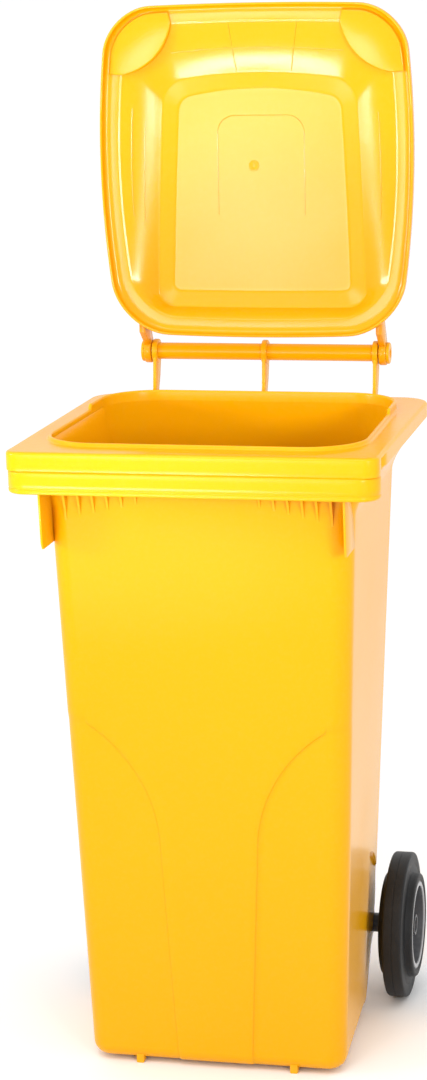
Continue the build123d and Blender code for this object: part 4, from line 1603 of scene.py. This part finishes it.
@dataclass
class Wheel:
    """Solid rubber wheel on a plastic rim with a lock in its hub."""

    side: Side
    tyre_radius: float = 102.0
    tread: Flat = (190.0, 217.0)
    shoulder: Flat = (180.0, 228.0)
    shoulder_radius: float = 72.8
    rim_radius: float = 62.0
    bore_radius: float = 55.0
    rim_x: Flat = (181.5, 226.5)

    def axis(self) -> Flat:
        """Y and z of the axle's middle line."""
        return middle_of("wheel_axle")

    def to_side(self, shells: Shells) -> Shells:
        """The shells as they are on this wheel's side."""
        return shells if self.side is Side.RIGHT else shells.mirrored()

    def tyre(self) -> bpy.types.Object:
        """Make the tyre with its raised tread and moulded rings."""
        r, s, top = self.shoulder_radius, self.shoulder, self.tyre_radius
        t = self.tread
        profile = [
            (self.rim_x[0], self.rim_radius + 0.05), (s[0] + 0.6, 63.0), (s[0], 64.6), (s[0], 69.0),
            (s[0] + 0.4, 71.0),
            (s[0] + 1.6, r - 0.4), (s[0] + 3.4, r), (t[0] - 3.0, r + 0.4), (t[0] - 1.2, r + 1.4),
            (t[0] - 0.5, r + 4.0),
            (t[0] - 0.4, 84.0), (t[0] - 0.2, 84.5), (t[0] - 0.2, 86.0), (t[0] - 0.4, 86.5),
            (t[0] - 0.1, top - 3.0),
            (t[0] + 0.5, top - 1.2), (t[0] + 1.8, top - 0.3), (t[0] + 3.2, top), (t[0] + 12.7, top),
            (t[0] + 13.1, top - 0.5),
            (t[0] + 13.9, top - 0.5), (t[0] + 14.3, top), (t[1] - 3.2, top), (t[1] - 1.8, top - 0.3),
            (t[1] - 0.5, top - 1.2),
            (t[1] + 0.1, top - 3.0), (t[1] + 0.4, 86.5), (t[1] + 0.2, 86.0), (t[1] + 0.2, 84.5),
            (t[1] + 0.4, 84.0),
            (t[1] + 0.5, r + 4.0), (t[1] + 1.2, r + 1.4), (t[1] + 3.0, r + 0.4), (s[1] - 3.4, r),
            (s[1] - 1.6, r - 0.4),
            (s[1] - 0.4, 71.0), (s[1], 69.0), (s[1], 64.6), (s[1] - 0.6, 63.0),
            (self.rim_x[1], self.rim_radius + 0.05),
        ]
        shells = Shells()
        shells.add_turned(profile, *self.axis(), 144)
        return self.to_side(shells).make(f"{self.side.value}_solid_tyre", sharp=40.0)

    def painted_highlight_ring(self) -> bpy.types.Object:
        """Make the pale ring on the rim's outer edge: its pale grey is a painted highlight where the rim's
        edge catches the light.
        """
        x, low, high = self.rim_x[1], self.bore_radius - 0.2, self.rim_radius - 1.2
        profile = [
            (x - 3.0, low + 0.8), (x - 0.6, low), (x + 0.5, low + 0.6), (x + 0.9, low + 1.8),
            (x + 0.9, high - 1.4),
            (x + 0.5, high - 0.4), (x - 0.4, high), (x - 3.0, high),
        ]
        shells = Shells()
        shells.add_turned(profile, *self.axis(), 144)
        return self.to_side(shells).make(f"{self.side.value}_rim_trim", sharp=50.0)

    def dress_all(self) -> None:
        """Make and dress the wheel's pieces and its CAD parts."""
        side = self.side.value
        body = f"{side}_wheel"
        dress(self.tyre(), BLACK_RUBBER, body, f"{side}_tyre")
        # The pale ring's grey is a painted highlight on the rim's outer edge.
        dress(self.painted_highlight_ring(), PALE_GREY_PLASTIC_AND_PAINTED_HIGHLIGHT, body)
        for node, finish in (
            (f"{side}_wheel_rim", WHEEL_PLASTIC), (f"{side}_axle_spacer", BLACK_PLASTIC),
            (f"{side}_lock_plunger", PALE_GREY_PLASTIC_AND_PAINTED_HIGHLIGHT), (f"{side}_lock_spring", SPRING_WIRE),
            (f"{side}_hinge_pin", YELLOW_BODY),
        ):
            refinish(node, finish)


def refinish(node: str, finish: Finish) -> None:
    """Give a CAD node that stays in view a better material."""
    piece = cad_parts[node]
    piece.data.materials.clear()
    piece.data.materials.append(finish.material())
    LOG.info("%s: CAD shape kept, %s", node, finish.name)


# --- studio -------------------------------------------------------------------------------------
@dataclass
class Studio:
    """Pale floor, white surroundings, soft lights and the camera."""

    azimuth: float = 12.95
    elevation: float = 12.42
    roll: float = -1.28
    distance: float = 3.553
    lens: float = 88.36
    world: float = 1.06

    def target(self) -> Vector:
        """Point that the camera looks at, from the whole object's box."""
        low, high = CAD_BOX
        return Vector(((low[0] + high[0]) / 2 - 0.0253, low[1] + 0.250, low[2] + 0.6863))

    def camera(self) -> None:
        """Add the camera."""
        az, el, roll = (math.radians(v) for v in (self.azimuth, self.elevation, self.roll))
        back = Vector((math.sin(az) * math.cos(el), -math.cos(az) * math.cos(el), math.sin(el)))
        level = Vector((math.cos(az), math.sin(az), 0.0))
        upright = back.cross(level)
        right = math.cos(roll) * level + math.sin(roll) * upright
        up = -math.sin(roll) * level + math.cos(roll) * upright
        data = bpy.data.cameras.new("camera")
        data.lens = self.lens
        data.sensor_width = 36.0
        data.clip_end = 900.0
        camera = bpy.data.objects.new("camera", data)
        turn = Matrix((right, up, back)).transposed().to_4x4()
        camera.matrix_world = Matrix.Translation(self.target() + back * self.distance) @ turn
        bpy.context.scene.collection.objects.link(camera)
        bpy.context.scene.camera = camera

    def floor(self) -> None:
        """Add the pale floor."""
        mesh = bpy.data.meshes.new("floor")
        size = 300.0
        mesh.from_pydata(
            [(-size, -size, 0.0), (size, -size, 0.0), (size, size, 0.0), (-size, size, 0.0)],
            [], [(0, 1, 2, 3)],
        )
        floor = bpy.data.objects.new("floor", mesh)
        bpy.context.scene.collection.objects.link(floor)
        material = bpy.data.materials.new("pale floor")
        material.use_nodes = True
        tree = material.node_tree
        shader = tree.nodes["Principled BSDF"]
        grain = tree.nodes.new("ShaderNodeTexNoise")
        grain.inputs["Scale"].default_value = 3.0
        ramp = tree.nodes.new("ShaderNodeValToRGB")
        ramp.color_ramp.elements[0].color = (0.95, 0.95, 0.95, 1.0)
        ramp.color_ramp.elements[1].color = (0.97, 0.97, 0.97, 1.0)
        place = tree.nodes.new("ShaderNodeTexCoord")
        tree.links.new(place.outputs["Object"], grain.inputs["Vector"])
        tree.links.new(grain.outputs["Fac"], ramp.inputs["Fac"])
        tree.links.new(ramp.outputs["Color"], shader.inputs["Base Color"])
        shader.inputs["Roughness"].default_value = 0.9
        mesh.materials.append(material)

    def light(self, name: str, at: Point, to: Point, size: Flat, power: float, beam: float = 180.0) -> None:
        """Add one soft rectangular light.

        Args:
            name: the light's name.
            at: where it stands, in metres.
            to: what it faces.
            size: its width and height.
            power: its power in watts.
            beam: how wide it shines, in degrees.
        """
        data = bpy.data.lights.new(name, "AREA")
        data.shape = "RECTANGLE"
        data.size, data.size_y = size
        data.energy = power
        data.spread = math.radians(beam)
        lamp = bpy.data.objects.new(name, data)
        aim = Vector(at) - Vector(to)
        lamp.matrix_world = Matrix.Translation(at) @ aim.to_track_quat("Z", "Y").to_matrix().to_4x4()
        lamp.visible_camera = False
        bpy.context.scene.collection.objects.link(lamp)

    def surroundings(self) -> None:
        """Add the white surroundings and the soft lights."""
        scene = bpy.context.scene
        world = bpy.data.worlds.new("white room")
        world.use_nodes = True
        world.node_tree.nodes["Background"].inputs["Color"].default_value = (1.0, 1.0, 1.0, 1.0)
        world.node_tree.nodes["Background"].inputs["Strength"].default_value = self.world
        scene.world = world
        scene.view_settings.view_transform = "Standard"
        self.light("low front light", (-0.66, -2.75, 0.98), (0.0, 0.25, 1.15), (0.62, 0.66), 3.6, 90.0)
        self.light("right low light", (1.52, -2.26, 1.26), (-0.15, 0.2, 1.2), (0.50, 0.36), 4.2, 60.0)
        self.light("left low light", (-2.39, -1.37, 1.26), (0.15, 0.2, 1.2), (0.42, 0.36), 3.8, 60.0)
        self.light("near low light", (-0.32, -0.99, 0.33), (0.0, 0.22, 1.34), (0.50, 0.16), 0.5, 36.0)
        self.light("top light", (-0.2, -2.0, 3.3), (0.0, 0.1, 0.8), (1.2, 1.2), 26.0)

    def build(self) -> None:
        """Set up the whole studio."""
        self.floor()
        self.surroundings()
        self.camera()


def main() -> None:
    """Build every piece in order."""
    logging.basicConfig(level=logging.INFO, format="%(name)s: %(message)s")
    Studio().build()
    tub = Tub()
    dress(tub.build(), YELLOW_BODY, "bin", "bin_tub")
    dress(FrontLip().build(), YELLOW_BODY, "bin", "bin_rim")
    dress(Collar(tub).build(), YELLOW_BODY, "bin")
    dress(LipRibs().build(), YELLOW_BODY, "bin", "lip_ribs")
    handle = Handle()
    dress(handle.brackets(), YELLOW_BODY, "bin", "handle_brackets")
    dress(handle.tube(), YELLOW_BODY, "bin", "handle_tube")
    dress(Lid().build(), YELLOW_LID, "lid", "lid")
    refinish("wheel_axle", ZINC_STEEL)
    for side in Side:
        Wheel(side).dress_all()


if __name__ == "__main__":
    main()
